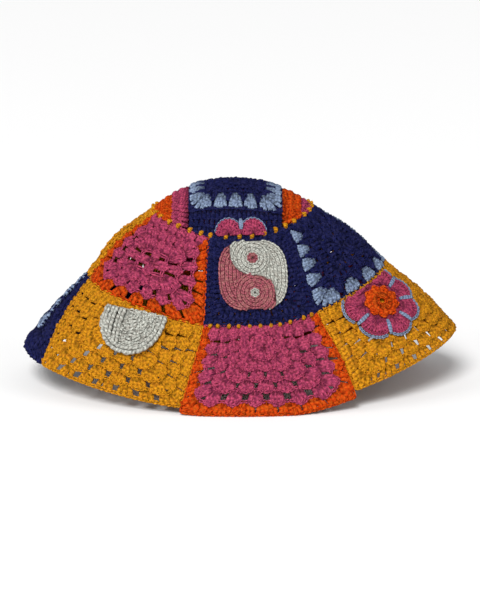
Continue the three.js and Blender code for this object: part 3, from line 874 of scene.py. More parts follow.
def model_loop(kind):
    """A chain or braid stitch: two strands that part and meet again, tucked under the next."""
    loop = LOOPS[kind]
    first = add_strand(strand_radius() * loop.girth, 5, loop.cuts, CHAIN_LENGTH)

    def part(x, y, z):
        girth = lerp(loop.end_girth, 1, arched(np.clip(z, *loop.thinning)) ** loop.power)
        spread = loop.apart + loop.bulge * arched(z**loop.lean)
        arch = loop.arch * arched(z) - loop.dip * (1 - z)
        return x * girth + spread, y * girth - arch, lerp(*loop.reach, z)

    def part_mirrored(x, y, z):
        across, out, along = part(-x, y, z)
        return -across, out, along

    second = copy_of(first)
    move_points(first, part)
    move_points(second, part_mirrored)
    return taken_stitch(join([first, second]))


def model_whip():
    """One slanting stitch over a seam: a single strand that arches from side to side."""
    strand = add_strand(strand_radius() * WHIP_GIRTH, 7, 7, WHIP_LENGTH)

    def arch(x, y, z):
        girth = lerp(WHIP_END_GIRTH, 1, arched(z))
        return x * girth, y * girth - WHIP_ARCH * arched(z) + WHIP_SINK, z

    move_points(strand, arch)
    return taken_stitch(strand)


def model_bar():
    """A flower's spoke: three strands side by side, pulled tight."""
    radius = strand_radius() * BAR_GIRTH
    strands = [add_strand(radius, 6, 6, BAR_LENGTH)]
    strands += [copy_of(strands[0]) for _ in range(2)]

    for strand, side in zip(strands, (-1, 0, 1)):
        def lie(x, y, z, side=side):
            girth = lerp(BAR_END_GIRTH, 1, arched(z))
            lift = BAR_ARCH * arched(z) + (BAR_MIDDLE_LIFT if side == 0 else 0)
            return (x + side * radius * BAR_SPACING) * girth, y - lift, z
        move_points(strand, lie)
    return taken_stitch(join(strands))


stitches_made = {}


def stitch(kind):
    """A stitch by its kind, modelled the first time it is asked for."""
    if kind not in stitches_made:
        makers = {"post": model_post, "whip": model_whip, "bar": model_bar}
        stitches_made[kind] = makers[kind]() if kind in makers else model_loop(kind)
    return stitches_made[kind]


# Flat drawings. A run of like stitches has the feet and heads of its stitches in the drawing, the
# height they lie at and how thick they are

Run = namedtuple("Run", "kind feet heads girths widths")


def run_of(kind, places, lift=CLOTH_MIDDLE, girth=1.0, width=1.0):
    """A run from rows of foot x, foot y, head x and head y, and of two heights unless lift is
    the height of them all."""
    rows = np.array(places, float)
    lifts = rows[:, 4:] if rows.shape[1] > 4 else np.full((len(rows), 2), lift)
    feet = np.concatenate([rows[:, :2], lifts[:, :1]], -1)
    heads = np.concatenate([rows[:, 2:4], lifts[:, 1:]], -1)
    girths, widths = (np.broadcast_to(np.array(size, float), len(rows)) for size in (girth, width))
    return Run(kind, feet, heads, girths, widths)


def lay_run(run, place, random):
    """Copies a run's stitch to all its places on the cloth."""
    across, out, along = stitch(run.kind).points.T
    feet, heads = place(*run.feet.T), place(*run.heads.T)
    middles = (run.feet + run.heads) / 2
    upwards = place(*(middles + (0, 0, 1)).T) - place(*middles.T)
    reach = heads - feet
    aside = unit(np.cross(reach, upwards)) * (run.girths * run.widths)[:, None]
    outwards = unit(np.cross(aside, reach)) * run.girths[:, None]
    points = (
        feet[:, None] + along[:, None] * reach[:, None]
        + across[:, None] * aside[:, None] - out[:, None] * outwards[:, None]
    )
    return points, random.uniform(0, 1, len(feet))


def tones_of(run, stitch_made, run_tones):
    """The tone at each point of a run's stitches: painted shade darkens posts towards their feet."""
    rise_along = np.clip(stitch_made.points[:, 2], 0, 1)
    if run.kind != "post":
        rise_along = np.full(len(rise_along), HEAD_CHAIN_RISE)
    stitch_tones = lerp(1 - TONE_SPREAD, 1, run_tones[:, None])
    return (lerp(FOOT_SHADE_TONE, 1, rise_along) * stitch_tones).ravel()


def mesh_of(name, points, corners, sizes):
    """A mesh from its points in millimetres, its faces' corners and how many each face has."""
    mesh = bpy.data.meshes.new(name)
    mesh.vertices.add(len(points))
    mesh.vertices.foreach_set("co", (points * MM).astype(np.float32).ravel())
    mesh.loops.add(len(corners))
    mesh.loops.foreach_set("vertex_index", corners.astype(np.int32))
    mesh.polygons.add(len(sizes))
    starts = np.concatenate([[0], np.cumsum(sizes)[:-1]])
    mesh.polygons.foreach_set("loop_start", starts.astype(np.int32))
    mesh.update(calc_edges=True)
    return mesh


def join_runs(name, runs, place, seed):
    """One mesh of all the stitches of several runs."""
    random = np.random.default_rng(seed)
    points, corners, sizes, plies, tones = [], [], [], [], []
    start = 0
    for run in runs:
        made = stitch(run.kind)
        laid, run_tones = lay_run(run, place, random)
        count, each = laid.shape[:2]
        points.append(laid.reshape(-1, 3))
        corners.append((made.corners[None] + start + each * np.arange(count)[:, None]).ravel())
        sizes.append(np.tile(made.sizes, count))
        ply = np.tile(made.ply, (count, 1, 1))
        ply[..., 0] += random.uniform(0, PLY_PITCH, (count, 1))
        plies.append(ply.reshape(-1, 3))
        tones.append(tones_of(run, made, run_tones))
        start += count * each
    mesh = mesh_of(name, *(np.concatenate(arrays) for arrays in (points, corners, sizes)))
    note(mesh, "ply", "FLOAT_VECTOR", "vector", np.concatenate(plies))
    note(mesh, "tone", "FLOAT", "value", np.concatenate(tones))
    piece = bpy.data.objects.new(name, mesh)
    bpy.context.collection.objects.link(piece)
    return piece


def note(mesh, name, kind, field, values):
    """Notes a value at each point of a mesh."""
    made = mesh.attributes.new(name, kind, "POINT")
    made.data.foreach_set(field, values.astype(np.float32).ravel())


def finish_piece(piece, yarn, nodes=()):
    """Gives a piece its yarn, smooth shading and its place in the frame."""
    piece.data.materials.clear()
    piece.data.materials.append(yarn_material(yarn))
    piece.data.shade_smooth()
    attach(piece, "root")
    if nodes:
        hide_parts(*nodes)
    return piece


def add_backing(name, backing, draw, tone=BACKING_SHADE_TONE):
    """A thin sheet of the same yarn under a motif's stitches: draw gives x and y for two shares."""
    deselect_all()
    bpy.ops.mesh.primitive_grid_add(
        x_subdivisions=backing.columns, y_subdivisions=backing.rows, size=1
    )
    sheet = bpy.context.object
    sheet.name = name

    def lay(x, y, z):
        return tuple(MM * draw(x + 0.5, y + 0.5, np.full(x.shape, backing.height)).T)

    move_points(sheet, lay)
    bpy.ops.object.modifier_add(type="SOLIDIFY")
    wall = sheet.modifiers[-1]
    wall.thickness = backing.thickness * MM
    wall.offset = -1
    bpy.ops.object.modifier_apply(modifier=wall.name)
    # The sheet's low tone is painted shade where it shows between the motif's stitches
    note(sheet.data, "tone", "FLOAT", "value", np.full(len(sheet.data.vertices), tone))
    return sheet


# Granny squares

def turned(side, across, out):
    """A place seen from a side of the square: across it from its middle, and outwards."""
    return ((across, -out), (out, across), (-across, out), (-out, -across))[side]


def cluster(side, foot, head, width, stretch, weave):
    """A cluster of posts and the chains over it, as rows of feet, heads and heights. It fans out
    from a foot to a domed head, both given as places across the side and outwards."""
    depth = head[1] - foot[1]
    foot_step = min(weave.foot_share * width, weave.most_foot / stretch)
    head_step = min(weave.head_share * width, weave.most_head / stretch)
    last = (weave.posts - 1) / 2
    posts = []
    for step in np.arange(weave.posts) - last:
        share = abs(step) / last
        back = FOOT_RISE + weave.foot_round * share**2
        low = turned(side, foot[0] + step * foot_step, foot[1] + back * depth)
        high = turned(side, head[0] + step * head_step, head[1] + lerp(*weave.dome, share) * depth)
        head_lift = lerp(MIDDLE_HEAD_LIFT, SIDE_HEAD_LIFT, share)
        posts.append((*low, *high, weave.foot_lift, head_lift))
    end = last * head_step
    middle_rise, side_rise = weave.dome
    line = [
        (-width / 2, side_rise - JOINING_CHAIN_DROP, JOINING_CHAIN_LIFT),
        (-end, side_rise - CHAIN_DROP, SIDE_HEAD_LIFT),
        (-end * MIDDLE_CHAIN_SHARE, middle_rise - CHAIN_DROP, MIDDLE_HEAD_LIFT),
        (end * MIDDLE_CHAIN_SHARE, middle_rise - CHAIN_DROP, MIDDLE_HEAD_LIFT),
        (end, side_rise - CHAIN_DROP, SIDE_HEAD_LIFT),
        (width / 2, side_rise - JOINING_CHAIN_DROP, JOINING_CHAIN_LIFT),
    ]
    chains = [
        (
            *turned(side, head[0] + first[0], head[1] + first[1] * depth),
            *turned(side, head[0] + second[0], head[1] + second[1] * depth),
            first[2], second[2],
        )
        for first, second in zip(line, line[1:])
    ]
    return posts, chains


def side_span(side, ring, depth, above):
    """Where a round's side starts and ends, and the same for its feet: the left and right sides of
    a square that is cut at the top end there."""
    outer, inner, top = ring * depth, CORNER_FOOT * (ring - 1) * depth, above * depth
    span, feet = [-outer, outer], [-inner, inner]
    if SIDES[side] == "right":
        span[1], feet[1] = min(outer, top), min(inner, top)
    if SIDES[side] == "left":
        span[0], feet[0] = -min(outer, top), -min(inner, top)
    return span, feet


# A granny square's flat drawing: its rounds and how many of them lie above its middle, how much
# wider and taller than the drawing it is on the cloth, the weaves of its field, of its last field
# round and of its edge at the bottom and the sides, its last round's clusters there, and the
# field's round whose clusters stand apart
Drawing = namedtuple("Drawing", "rounds above stretches field last_field edge counts spaced")


def is_outermost(drawing, ring, side):
    return ring == (drawing.above if SIDES[side] == "top" else drawing.rounds)


def weave_of(drawing, ring, side):
    """The name of the weave that one side of a round is worked in."""
    if ring == drawing.spaced:
        return "spaced_border"
    if is_outermost(drawing, ring, side):
        return drawing.edge[side % 2]
    return drawing.last_field if ring == drawing.rounds - 1 else drawing.field


def cluster_count(drawing, ring, side, span, depth):
    """How many clusters one side of a round has, where span is how much of it there is."""
    rounds, count = drawing.rounds, drawing.counts[side % 2]
    if ring == rounds:
        return count
    if ring == 1:
        return 1
    extra = count - rounds
    if side % 2:
        extra = min(extra, 1) if drawing.above == rounds else CUT_SIDE_EXTRA
    return max(1, round((ring + extra) * (span[1] - span[0]) / (2 * ring * depth)))


def edge_row(side, out, span, stretch):
    """The row of flat stitches along one edge of a square."""
    marks = np.linspace(*span, round((span[1] - span[0]) * stretch / EDGE_PITCH))
    places = [turned(side, mark, out) for mark in marks]
    return [(*foot, *head, EDGE_LIFT, EDGE_LIFT) for foot, head in zip(places, places[1:])]


def round_side(drawing, ring, side):
    """One side of a round: its posts, its chains, the row along its edge, and the posts that lie
    under clusters that stand apart."""
    depth = (HALF_SQUARE - EDGE_INSET) / drawing.rounds
    stretch = drawing.stretches[side % 2]
    weave = weave_of(drawing, ring, side)
    span, feet = side_span(side, ring, depth, drawing.above)
    count = cluster_count(drawing, ring, side, span, depth)
    width = (span[1] - span[0]) / count
    if side % 2 and drawing.above < drawing.rounds:
        feet = max(feet[0], span[0] + width / 2), min(feet[1], span[1] - width / 2)
    posts, chains, edge, ground = [], [], [], []
    for index in range(count):
        foot = lerp(*feet, index / (count - 1)) if count > 1 else sum(feet) / 2
        head = span[0] + (index + 0.5) * width
        low, high = (foot, (ring - 1) * depth), (head, ring * depth)
        fan, joining = cluster(side, low, high, width, stretch, WEAVES[weave])
        posts += fan
        if not is_outermost(drawing, ring, side):
            chains += joining
        if weave == "spaced_border":
            under = (head, (ring - 1) * depth)
            row, _ = cluster(side, under, high, width, stretch, WEAVES["border_ground"])
            ground += [(*post[:5], post[5] + GROUND_DROP) for post in row]
    if is_outermost(drawing, ring, side):
        if SIDES[side] == "top":
            span = [-drawing.rounds * depth, drawing.rounds * depth]
        edge = edge_row(side, ring * depth, span, stretch)
    return posts, chains, edge, ground


def square_pieces(name, drawing, yarn_at, place, seed):
    """A granny square's pieces, one for each of its yarns, its field's first. yarn_at names the
    yarn at a ring and side."""
    by_yarn = {}
    for ring in range(1, drawing.rounds + 1):
        for side, side_name in enumerate(SIDES):
            if side_name == "top" and ring > drawing.above:
                continue
            yarn = yarn_at(ring, side_name)
            kept_posts, *_, widths = by_yarn.setdefault(yarn, ([], [], [], []))
            posts, chains, edge, ground = round_side(drawing, ring, side)
            kept_posts.extend(posts)
            widths.extend([drawing.stretches[side % 2]] * len(posts))
            behind = by_yarn[yarn_at(1, side_name) if ground else yarn]
            for kept, rows in zip(behind, (ground, chains, edge, [1.0] * len(ground))):
                kept.extend(rows)
    random = np.random.default_rng(seed)
    jitter = bpy.context.scene.hat_stitches.jitter / MM
    made = {}
    for number, (yarn, (posts, chains, edge, widths)) in enumerate(by_yarn.items()):
        posts = np.array(posts) + random.normal(0, jitter, (len(posts), 6))
        widths = np.clip(np.array(widths), 1.0, MOST_POST_WIDTH)
        runs = [run_of("post", posts, girth=POST_GIRTH, width=widths)]
        if chains:
            runs.append(run_of("chain", chains, girth=CHAIN_GIRTH))
        if edge:
            runs.append(run_of("braid", edge, girth=EDGE_GIRTH))
        ending = "stitches" if number == 0 else f"{yarn}_round"
        made[yarn] = join_runs(f"{name}_{ending}", runs, place, seed + number)
    return made


def work_square(square, seed):
    """One square of the side or the brim."""
    name = f"{square.ring}_square_{square.place}"
    rounds, above = square.rounds

    def yarn_at(ring, side):
        if ring == rounds and square.border and side in square.sides.split():
            return square.border
        if square.inner and ring == rounds - 2:
            return square.inner
        return square.field

    last_field = UNDER_BORDER.get(square.weave, square.weave) if square.border else square.weave
    stretches = tuple(size / HALF_SQUARE for size in true_size(square))
    drawing = Drawing(
        rounds, above, stretches, square.weave, last_field, square.border_weave, square.counts,
        rounds - 2 if square.inner else None,
    )
    made = square_pieces(name, drawing, yarn_at, square_place(square), seed)
    for yarn, piece in made.items():
        finish_piece(piece, yarn, (name,) if yarn == square.field else ())


def work_squares(ring):
    for number, square in enumerate(SQUARES):
        if square.ring == ring:
            work_square(square, SQUARE_SEED + number)


def top_square_front(x):
    """The top square's front edge, which bows forwards, at an x of the plan."""
    left, right, front, bow = (TOP_SQUARE[part] for part in ("left", "right", "front", "front_bow"))
    share = (2 * x - left - right) / (right - left)
    return front - bow * (1 - share * share)


def top_square_place(x, y, height):
    """Lays the top square's drawing on the crown, with deeper stitches in its last round."""
    left, right, back = (TOP_SQUARE[side] for side in ("left", "right", "back"))
    front = TOP_SQUARE["front"] - TOP_SQUARE["front_bow"]

    def spaced(share, half_size):
        return deepen_border(share, TOP_BORDER_DEPTH / half_size, TOP_ROUNDS)

    across = (spaced(x / HALF_SQUARE, (right - left) / 2) + 1) / 2
    up = (spaced(y / HALF_SQUARE, (back - front) / 2) + 1) / 2
    plan_x = lerp(left, right, across)
    return crown_place(plan_x, lerp(top_square_front(plan_x), back, up), height)


# Strips of clusters round the top square

def strip_runs(strip):
    """Rows of clusters that point down a strip, every other row with one cluster fewer."""
    row_depth = (strip.depth - EDGE_INSET) / strip.rows
    posts, chains = [], []
    for row in range(strip.rows):
        count = strip.clusters - row % 2
        width = strip.length / count
        foot, head = (0, row * row_depth), (0, (row + 1) * row_depth)
        for index in range(count):
            made = cluster(0, foot, head, width, 1.0, WEAVES["strip"])
            middle = (index + 0.5) * width
            for rows_made, kept in zip(made, (posts, chains)):
                kept += [(a + middle, b, c + middle, *others) for a, b, c, *others in rows_made]
    return [
        run_of("post", posts, girth=POST_GIRTH), run_of("chain", chains, girth=CHAIN_GIRTH)
    ]


def strip_place(strip):
    def place(x, y, height):
        plan_x, plan_y = strip.plan(x / strip.length, -y / strip.depth)
        return crown_place(plan_x, plan_y, height)
    return place


def front_panel_plan(across, outwards):
    x = lerp(TOP_SQUARE["left"], TOP_SQUARE["right"], across)
    return x, lerp(top_square_front(x) - SEAM_GAP, -top_seam_depth(x), outwards)


def back_panel_plan(across, outwards):
    x = lerp(TOP_SQUARE["right"], TOP_SQUARE["left"], across)
    return x, lerp(TOP_SQUARE["back"] + SEAM_GAP, top_seam_depth(x), outwards)


def inner_strip_plan(inner_x, edge_x, facing):
    def plan(across, outwards):
        x = lerp(inner_x + facing * SEAM_GAP, edge_x - facing * SEAM_GAP / 2, outwards)
        share = across if facing > 0 else 1 - across
        return x, lerp(-top_seam_depth(x), top_seam_depth(x), share)
    return plan


def outer_piece_plan(edge_x, facing):
    middle_x, half_width, half_depth = SECTIONS[TOP_SEAM][:3]
    start = abs(math.asin((edge_x - middle_x) / (half_width - SEAM_GAP))) + OUTER_PIECE_TRIM

    def plan(across, outwards):
        share = across if facing > 0 else 1 - across
        turn = facing * lerp(start, math.pi - start, share)
        seam_x = middle_x + (half_width - SEAM_GAP) * np.sin(turn)
        seam_y = -(half_depth - SEAM_GAP) * np.cos(turn)
        return lerp(edge_x + facing * SEAM_GAP / 2, seam_x, outwards), seam_y

    return plan


# A strip: its node, its plan, its length and depth over the cloth, its clusters and rows, its yarn
Strip = namedtuple("Strip", "node plan length depth clusters rows yarn")
LEFT_INNER_PLAN = inner_strip_plan(TOP_SQUARE["left"], LEFT_STRIP_EDGE, -1)
LEFT_OUTER_PLAN = outer_piece_plan(LEFT_STRIP_EDGE, -1)
RIGHT_INNER_PLAN = inner_strip_plan(TOP_SQUARE["right"], RIGHT_STRIP_EDGE, 1)
RIGHT_OUTER_PLAN = outer_piece_plan(RIGHT_STRIP_EDGE, 1)
STRIPS = (
    Strip("top_front_panel", front_panel_plan, 67, 20, 7, 3, "navy"),
    Strip("top_back_panel", back_panel_plan, 67, 22, 6, 3, "pink"),
    Strip("top_left_inner", LEFT_INNER_PLAN, 88, 14, 8, 2, "pink"),
    Strip("top_left_outer", LEFT_OUTER_PLAN, 70, 22, 6, 3, "orange"),
    Strip("top_right_inner", RIGHT_INNER_PLAN, 84, 15, 8, 2, "orange"),
    Strip("top_right_outer", RIGHT_OUTER_PLAN, 56, 16, 5, 2, "pink"),
)


def work_top_square():
    def yarn_at(ring, side):
        return "light_blue" if ring == TOP_ROUNDS else "navy"

    drawing = Drawing(
        TOP_ROUNDS, TOP_ROUNDS, (1, 1), "tight", "tight_under_border", SPACED, TOP_COUNTS, None
    )
    made = square_pieces("top_square", drawing, yarn_at, top_square_place, TOP_SQUARE_SEED)
    for yarn, piece in made.items():
        finish_piece(piece, yarn, ("top_square",) if yarn == "navy" else ())


def work_strips():
    for number, strip in enumerate(STRIPS):
        piece = join_runs(
            f"{strip.node}_stitches", strip_runs(strip), strip_place(strip), STRIP_SEED + number
        )
        finish_piece(piece, strip.yarn, (strip.node,))


# Rows of chain that follow a line

def chain_rows(line, pitch, keep=None):
    """Chain stitches along a line, or along the parts of it where keep is true."""
    places = []
    kept = np.full(len(line), True) if keep is None else keep
    edges = np.flatnonzero(np.diff(np.concatenate([[False], kept, [False]]).astype(int)))
    for start, end in zip(edges[::2], edges[1::2]):
        part = line[start:end]
        steps = np.linalg.norm(np.diff(part, axis=0), axis=1)
        travelled = np.concatenate([[0], np.cumsum(steps)])
        if travelled[-1] > pitch / 2:
            marks = np.linspace(0, travelled[-1], max(1, round(travelled[-1] / pitch)) + 1)
            xs, ys = (np.interp(marks, travelled, part[:, axis]) for axis in (0, 1))
            places += list(zip(xs[:-1], ys[:-1], xs[1:], ys[1:]))
    return places


def arc(centre_x, centre_y, radius_x, radius_y, start, end, count=120):
    """Points of an oval arc between two turns in degrees."""
    turns = np.radians(np.linspace(start, end, count))
    return np.stack([centre_x + radius_x * np.cos(turns), centre_y + radius_y * np.sin(turns)], -1)


# The two-coloured disc

def disc_half_width(y):
    share = np.minimum(np.abs(y / DISC["half_height"]), 1)
    return DISC["half_width"] * (1 - share ** DISC["squareness"]) ** (1 / DISC["squareness"])


def disc_bend(y):
    """The line between the two halves: it swings to the left above and to the right below."""
    swing = np.sin(math.pi / 2 * np.sqrt(np.abs(y) / DISC_BEND["height"]))
    return -np.sign(y) * DISC_BEND["reach"] * swing


def disc_outline(inset):
    """The disc's outline, moved inwards, from its right and round to the left."""
    turns = np.radians(np.linspace(-180, 180, 360))
    power = 2 / DISC["squareness"]
    cosine, sine = np.cos(turns), np.sin(turns)
    return np.stack([
        (DISC["half_width"] - inset) * np.sign(cosine) * np.abs(cosine) ** power,
        (DISC["half_height"] - inset) * np.sign(sine) * np.abs(sine) ** power,
    ], -1)


def disc_half_rows(facing, eye):
    """Rows round the eye of a half, and rows that follow the outline down to its tail. facing is 1
    for the half whose head is above and tail on the right."""
    def is_inside(line, margin):
        x, y = line.T
        return facing * (x - disc_bend(y)) > margin

    places = []
    for radius in np.arange(eye["radius"] + FIRST_RING_GAP, DISC_RING_REACH, DISC_ROW_PITCH):
        ring = arc(eye["x"], eye["y"], radius, radius, 90 * facing, 90 * facing + 360)
        x, y = ring.T
        is_on_disc = (np.abs(x) < disc_half_width(y) - RING_EDGE_GAP) & (
            np.abs(y) < DISC["half_height"] - RING_EDGE_GAP
        )
        is_near_head = (radius < DISC_HEAD_RADIUS) | (facing * x < facing * eye["x"])
        kept = is_inside(ring, RING_BEND_GAP) & is_on_disc & is_near_head
        places += chain_rows(ring, CHAIN_PITCH, kept)
    for row in range(OUTLINE_ROWS):
        line = disc_outline(FIRST_ROW_INSET + row * DISC_ROW_PITCH)
        x, y = line[:, 0] - eye["x"], line[:, 1] - eye["y"]
        is_away = np.hypot(x, y) > DISC_HEAD_RADIUS + ROW_RING_GAP
        is_beyond = (is_away & (facing * x > 0)) | (facing * line[:, 1] < -ROW_OVERLAP)
        places += chain_rows(line, CHAIN_PITCH, is_inside(line, ROW_BEND_GAP) & is_beyond)
    return places


def disc_backing(facing):
    def draw(across, up, height):
        share = lerp(BACKING_END, 1 - BACKING_END, up)
        y = lerp(-DISC["half_height"], DISC["half_height"], share)
        edge = disc_half_width(y) - BACKING_INSET
        bend = np.clip(disc_bend(y), -edge, edge)
        x = lerp(bend, edge, across) if facing > 0 else lerp(-edge, bend, across)
        return motif_place(DISC)(x, y, height)
    return draw


def work_disc_half(yarn, facing, eye, backing_shade_tone):
    node = f"disc_{yarn}_half"
    runs = [run_of("braid", disc_half_rows(facing, eye), *DISC_STITCHES)]
    rows = join_runs(f"{node}_rows", runs, motif_place(DISC), DISC_SEED + facing)
    backing = add_backing(f"{node}_backing", DISC_BACKING, disc_backing(facing), backing_shade_tone)
    finish_piece(join([rows, backing]), yarn, (node,))


def work_eye(yarn, eye):
    """A small round of posts with a chain round it."""
    node = f"disc_{yarn}_eye"
    middle = np.array((eye["x"], eye["y"]))
    rays = []
    for turn in np.radians(np.arange(0, 360, EYE_RAY_STEP)):
        way = np.array((math.cos(turn), math.sin(turn)))
        foot, head = middle + EYE_RAY_START * way, middle + eye["radius"] * EYE_RAY_REACH * way
        rays.append((*foot, *head))
    rim_radius = eye["radius"] * EYE_RIM_SHARE
    rim = chain_rows(arc(*middle, rim_radius, rim_radius, 0, 360), EYE_RIM_PITCH)
    runs = [run_of("post", rays, *EYE_RAYS), run_of("chain", rim, *EYE_RIM)]
    piece = join_runs(f"{node}_knot", runs, motif_place(DISC), EYE_SEED)
    finish_piece(piece, yarn, (node,))


# The flower

def petal_line(start, end, share, turn, count=60):
    """A petal's rounded outline between two dips, drawn at a share of its size and within a turn to
    both sides of its tip."""
    middle = math.radians((start + end) / 2)
    half = math.radians((end - start) / 2)
    reach, centre = FLOWER["petals"] * share, FLOWER["centre"]
    hub = lerp(centre, reach, 0.5)
    wide = min(hub * math.sin(half) * PETAL_WIDTH, (reach - centre) * PETAL_ROUNDNESS) * share
    turns = np.radians(np.linspace(-turn, turn, count))
    out = hub + (reach - hub) * np.cos(turns)
    aside = wide * np.sin(turns)
    x = out * math.cos(middle) - aside * math.sin(middle)
    y = out * math.sin(middle) + aside * math.cos(middle)
    return np.stack([x * FLOWER["stretch"], y], -1)


def flower_way(turn):
    """The direction of a turn in degrees from the flower's middle, with the flower's stretch."""
    turn = math.radians(turn)
    return np.array((math.cos(turn) * FLOWER["stretch"], math.sin(turn)))


def petal_foot(start, end):
    """Where a petal's posts fan out from, near the flower's centre."""
    return lerp(FLOWER["centre"], FLOWER["petals"], PETAL_FOOT) * flower_way((start + end) / 2)


def within_levels(line):
    _, levels = locator(FLOWER["angle"], FLOWER["level"])(line[:, 0], line[:, 1])
    return (levels > FLOWER["lowest_level"] - LEVEL_MARGIN) & (
        levels < FLOWER["highest_level"] + LEVEL_MARGIN
    )


def shortened(foot, head):
    """A stitch cut back to where the flower stops at a seam."""
    share = 1.0
    foot, head = np.array(foot), np.array(head)
    while share > LEAST_STITCH and not within_levels(lerp(foot, head, share)[None])[0]:
        share -= STITCH_CUT
    return (*foot, *lerp(foot, head, share))


def petal_runs():
    posts, rims = [], []
    for start, end in zip(FLOWER["dips"], FLOWER["dips"][1:]):
        foot = petal_foot(start, end)
        for head in petal_line(start, end, PETAL_SHARE, POSTS_TURN, PETAL_POSTS):
            posts.append(shortened(lerp(foot, head, POST_START), head))
        rim = petal_line(start, end, PETAL_SHARE, RIM_TURN)
        for line in (rim, lerp(foot, rim, INNER_RIM_SHARE)):
            rims += chain_rows(line, FINE_CHAIN_PITCH, within_levels(line))
    return [run_of("post", posts, *PETAL_STITCHES), run_of("chain", rims, *PETAL_RIM)]


def edging_runs():
    loops, spokes = [], []
    for index in FLOWER["edged"]:
        line = petal_line(*FLOWER["dips"][index:index + 2], EDGING_SHARE, EDGING_TURN)
        loops += chain_rows(line, FINE_CHAIN_PITCH, within_levels(line))
    for turn in FLOWER["spokes"]:
        way = flower_way(turn)
        foot = way * lerp(FLOWER["centre"], FLOWER["petals"], SPOKE_START)
        spokes.append(shortened(foot, way * FLOWER["petals"] * SPOKE_END))
    return [run_of("chain", loops, *EDGING), run_of("bar", spokes, *SPOKES)]


def petal_backing(across, outwards, height):
    """A ring under the petals, drawn in where the flower stops at a seam."""
    turn = np.radians(lerp(FLOWER["dips"][-1], FLOWER["dips"][0], across))
    radius = PETAL_BACKING_SHARE * lerp(FLOWER["centre"], FLOWER["petals"], outwards)
    x, y = FLOWER["stretch"] * radius * np.cos(turn), radius * np.sin(turn)
    for _ in range(BACKING_TRIMS):
        trim = np.where(within_levels(np.stack([x, y], -1)), 1, BACKING_TRIM)
        x, y = x * trim, y * trim
    return motif_place(FLOWER)(x, y, height)


def centre_runs():
    """Radiating posts round a small hole, inside a chain."""
    posts, heads = [], []
    lobe_turn = 360 / CENTRE_LOBES
    for lobe in range(CENTRE_LOBES):
        ends = []
        for lean in (-LOBE_LEAN / 2, LOBE_LEAN / 2):
            way = flower_way((lobe + 0.5 + lean) * lobe_turn)
            posts.append((*(way * CENTRE_POSTS_FROM), *(way * CENTRE_POSTS_TO)))
            ends.append(way * CENTRE_POSTS_TO)
        heads.append((*ends[0], *ends[1]))
    hole = arc(0, 0, CENTRE_HOLE_RADIUS * FLOWER["stretch"], CENTRE_HOLE_RADIUS, 0, 360)
    return [
        run_of("post", posts, *CENTRE_POSTS),
        run_of("chain", chain_rows(hole, CENTRE_HOLE_PITCH), *CENTRE_HOLE),
        run_of("chain", heads, *CENTRE_HEADS),
    ]


def centre_backing(across, outwards, height):
    turn = 2 * math.pi * (1 - across)
    radius = lerp(*CENTRE_BACKING_RADII, outwards)
    x, y = FLOWER["stretch"] * radius * np.cos(turn), radius * np.sin(turn)
    return motif_place(FLOWER)(x, y, height)


def work_flower():
    place = motif_place(FLOWER)
    petals = join_runs("flower_petal_stitches", petal_runs(), place, PETAL_SEED)
    backing = add_backing("flower_backing", PETAL_BACKING, petal_backing)
    finish_piece(join([petals, backing]), "pink", ("flower_petals",))
    edging = join_runs("flower_edging_loops", edging_runs(), place, EDGING_SEED)
    finish_piece(edging, "light_blue", ("flower_edging",))
    centre = join_runs("flower_centre_stitches", centre_runs(), place, CENTRE_SEED)
    backing = add_backing("flower_centre_backing", CENTRE_BACKING, centre_backing)
    finish_piece(join([centre, backing]), "orange", ("flower_centre",))


# The half flower

def fan_line(side, share, turns, count=60):
    """The outline of one of the half flower's two fan-shaped petals, at a share of its size."""
    half_width, height = HALF_FLOWER["half_width"] * share, HALF_FLOWER["height"] * share
    line = arc(0, 0, half_width, height, *turns, count)
    return line + (side * HALF_FLOWER["petal_middle"], HALF_FLOWER["foot"])


def work_half_flower():
    posts, rims, loops = [], [], []
    for side in (-1, 1):
        foot = np.array((side * HALF_FLOWER["petal_middle"], HALF_FLOWER["foot"]))
        for head in fan_line(side, FAN_POST_SHARE, FAN_POST_TURNS, FAN_POSTS):
            posts.append((*lerp(foot, head, POST_START), *head))
        rims += chain_rows(fan_line(side, FAN_RIM_SHARE, FAN_RIM_TURNS), FINE_CHAIN_PITCH)
        loop = fan_line(side, FAN_LOOP_SHARE, FAN_LOOP_TURNS[side])
        loops += chain_rows(loop, FINE_CHAIN_PITCH)
    place = motif_place(HALF_FLOWER)
    runs = [run_of("post", posts, *FAN_STITCHES), run_of("chain", rims, *FAN_RIM)]
    petals = join_runs("half_flower_petal_stitches", runs, place, FAN_SEED)
    finish_piece(petals, "pink", ("half_flower_petals",))
    start, end = HALF_FLOWER["spoke"]
    runs = [run_of("chain", loops, *FAN_LOOPS), run_of("bar", [(0, start, 0, end)], *FAN_SPOKE)]
    edging = join_runs("half_flower_edging_loops", runs, place, FAN_EDGING_SEED)
    finish_piece(edging, "light_blue", ("half_flower_edging",))


# The shell-like patch

def shell_line(reach, first):
    """A line that follows the patch's rounded edge at a share of its size, from a share of the way
    to its left end as far as its right end."""
    turns = np.linspace(first, 1.0, SHELL_POINTS) * math.pi / 2
    power = 2 / SHELL["roundness"]
    x = reach * SHELL["half_width"] * np.sign(turns) * np.abs(np.sin(turns)) ** power
    y = -reach * SHELL["drop"] * np.abs(np.cos(turns)) ** power
    return shell_turned(x, y)


def shell_turned(x, y):
    turn = math.radians(SHELL["tilt"])
    return np.stack([
        x * math.cos(turn) - y * math.sin(turn), x * math.sin(turn) + y * math.cos(turn)
    ], -1)


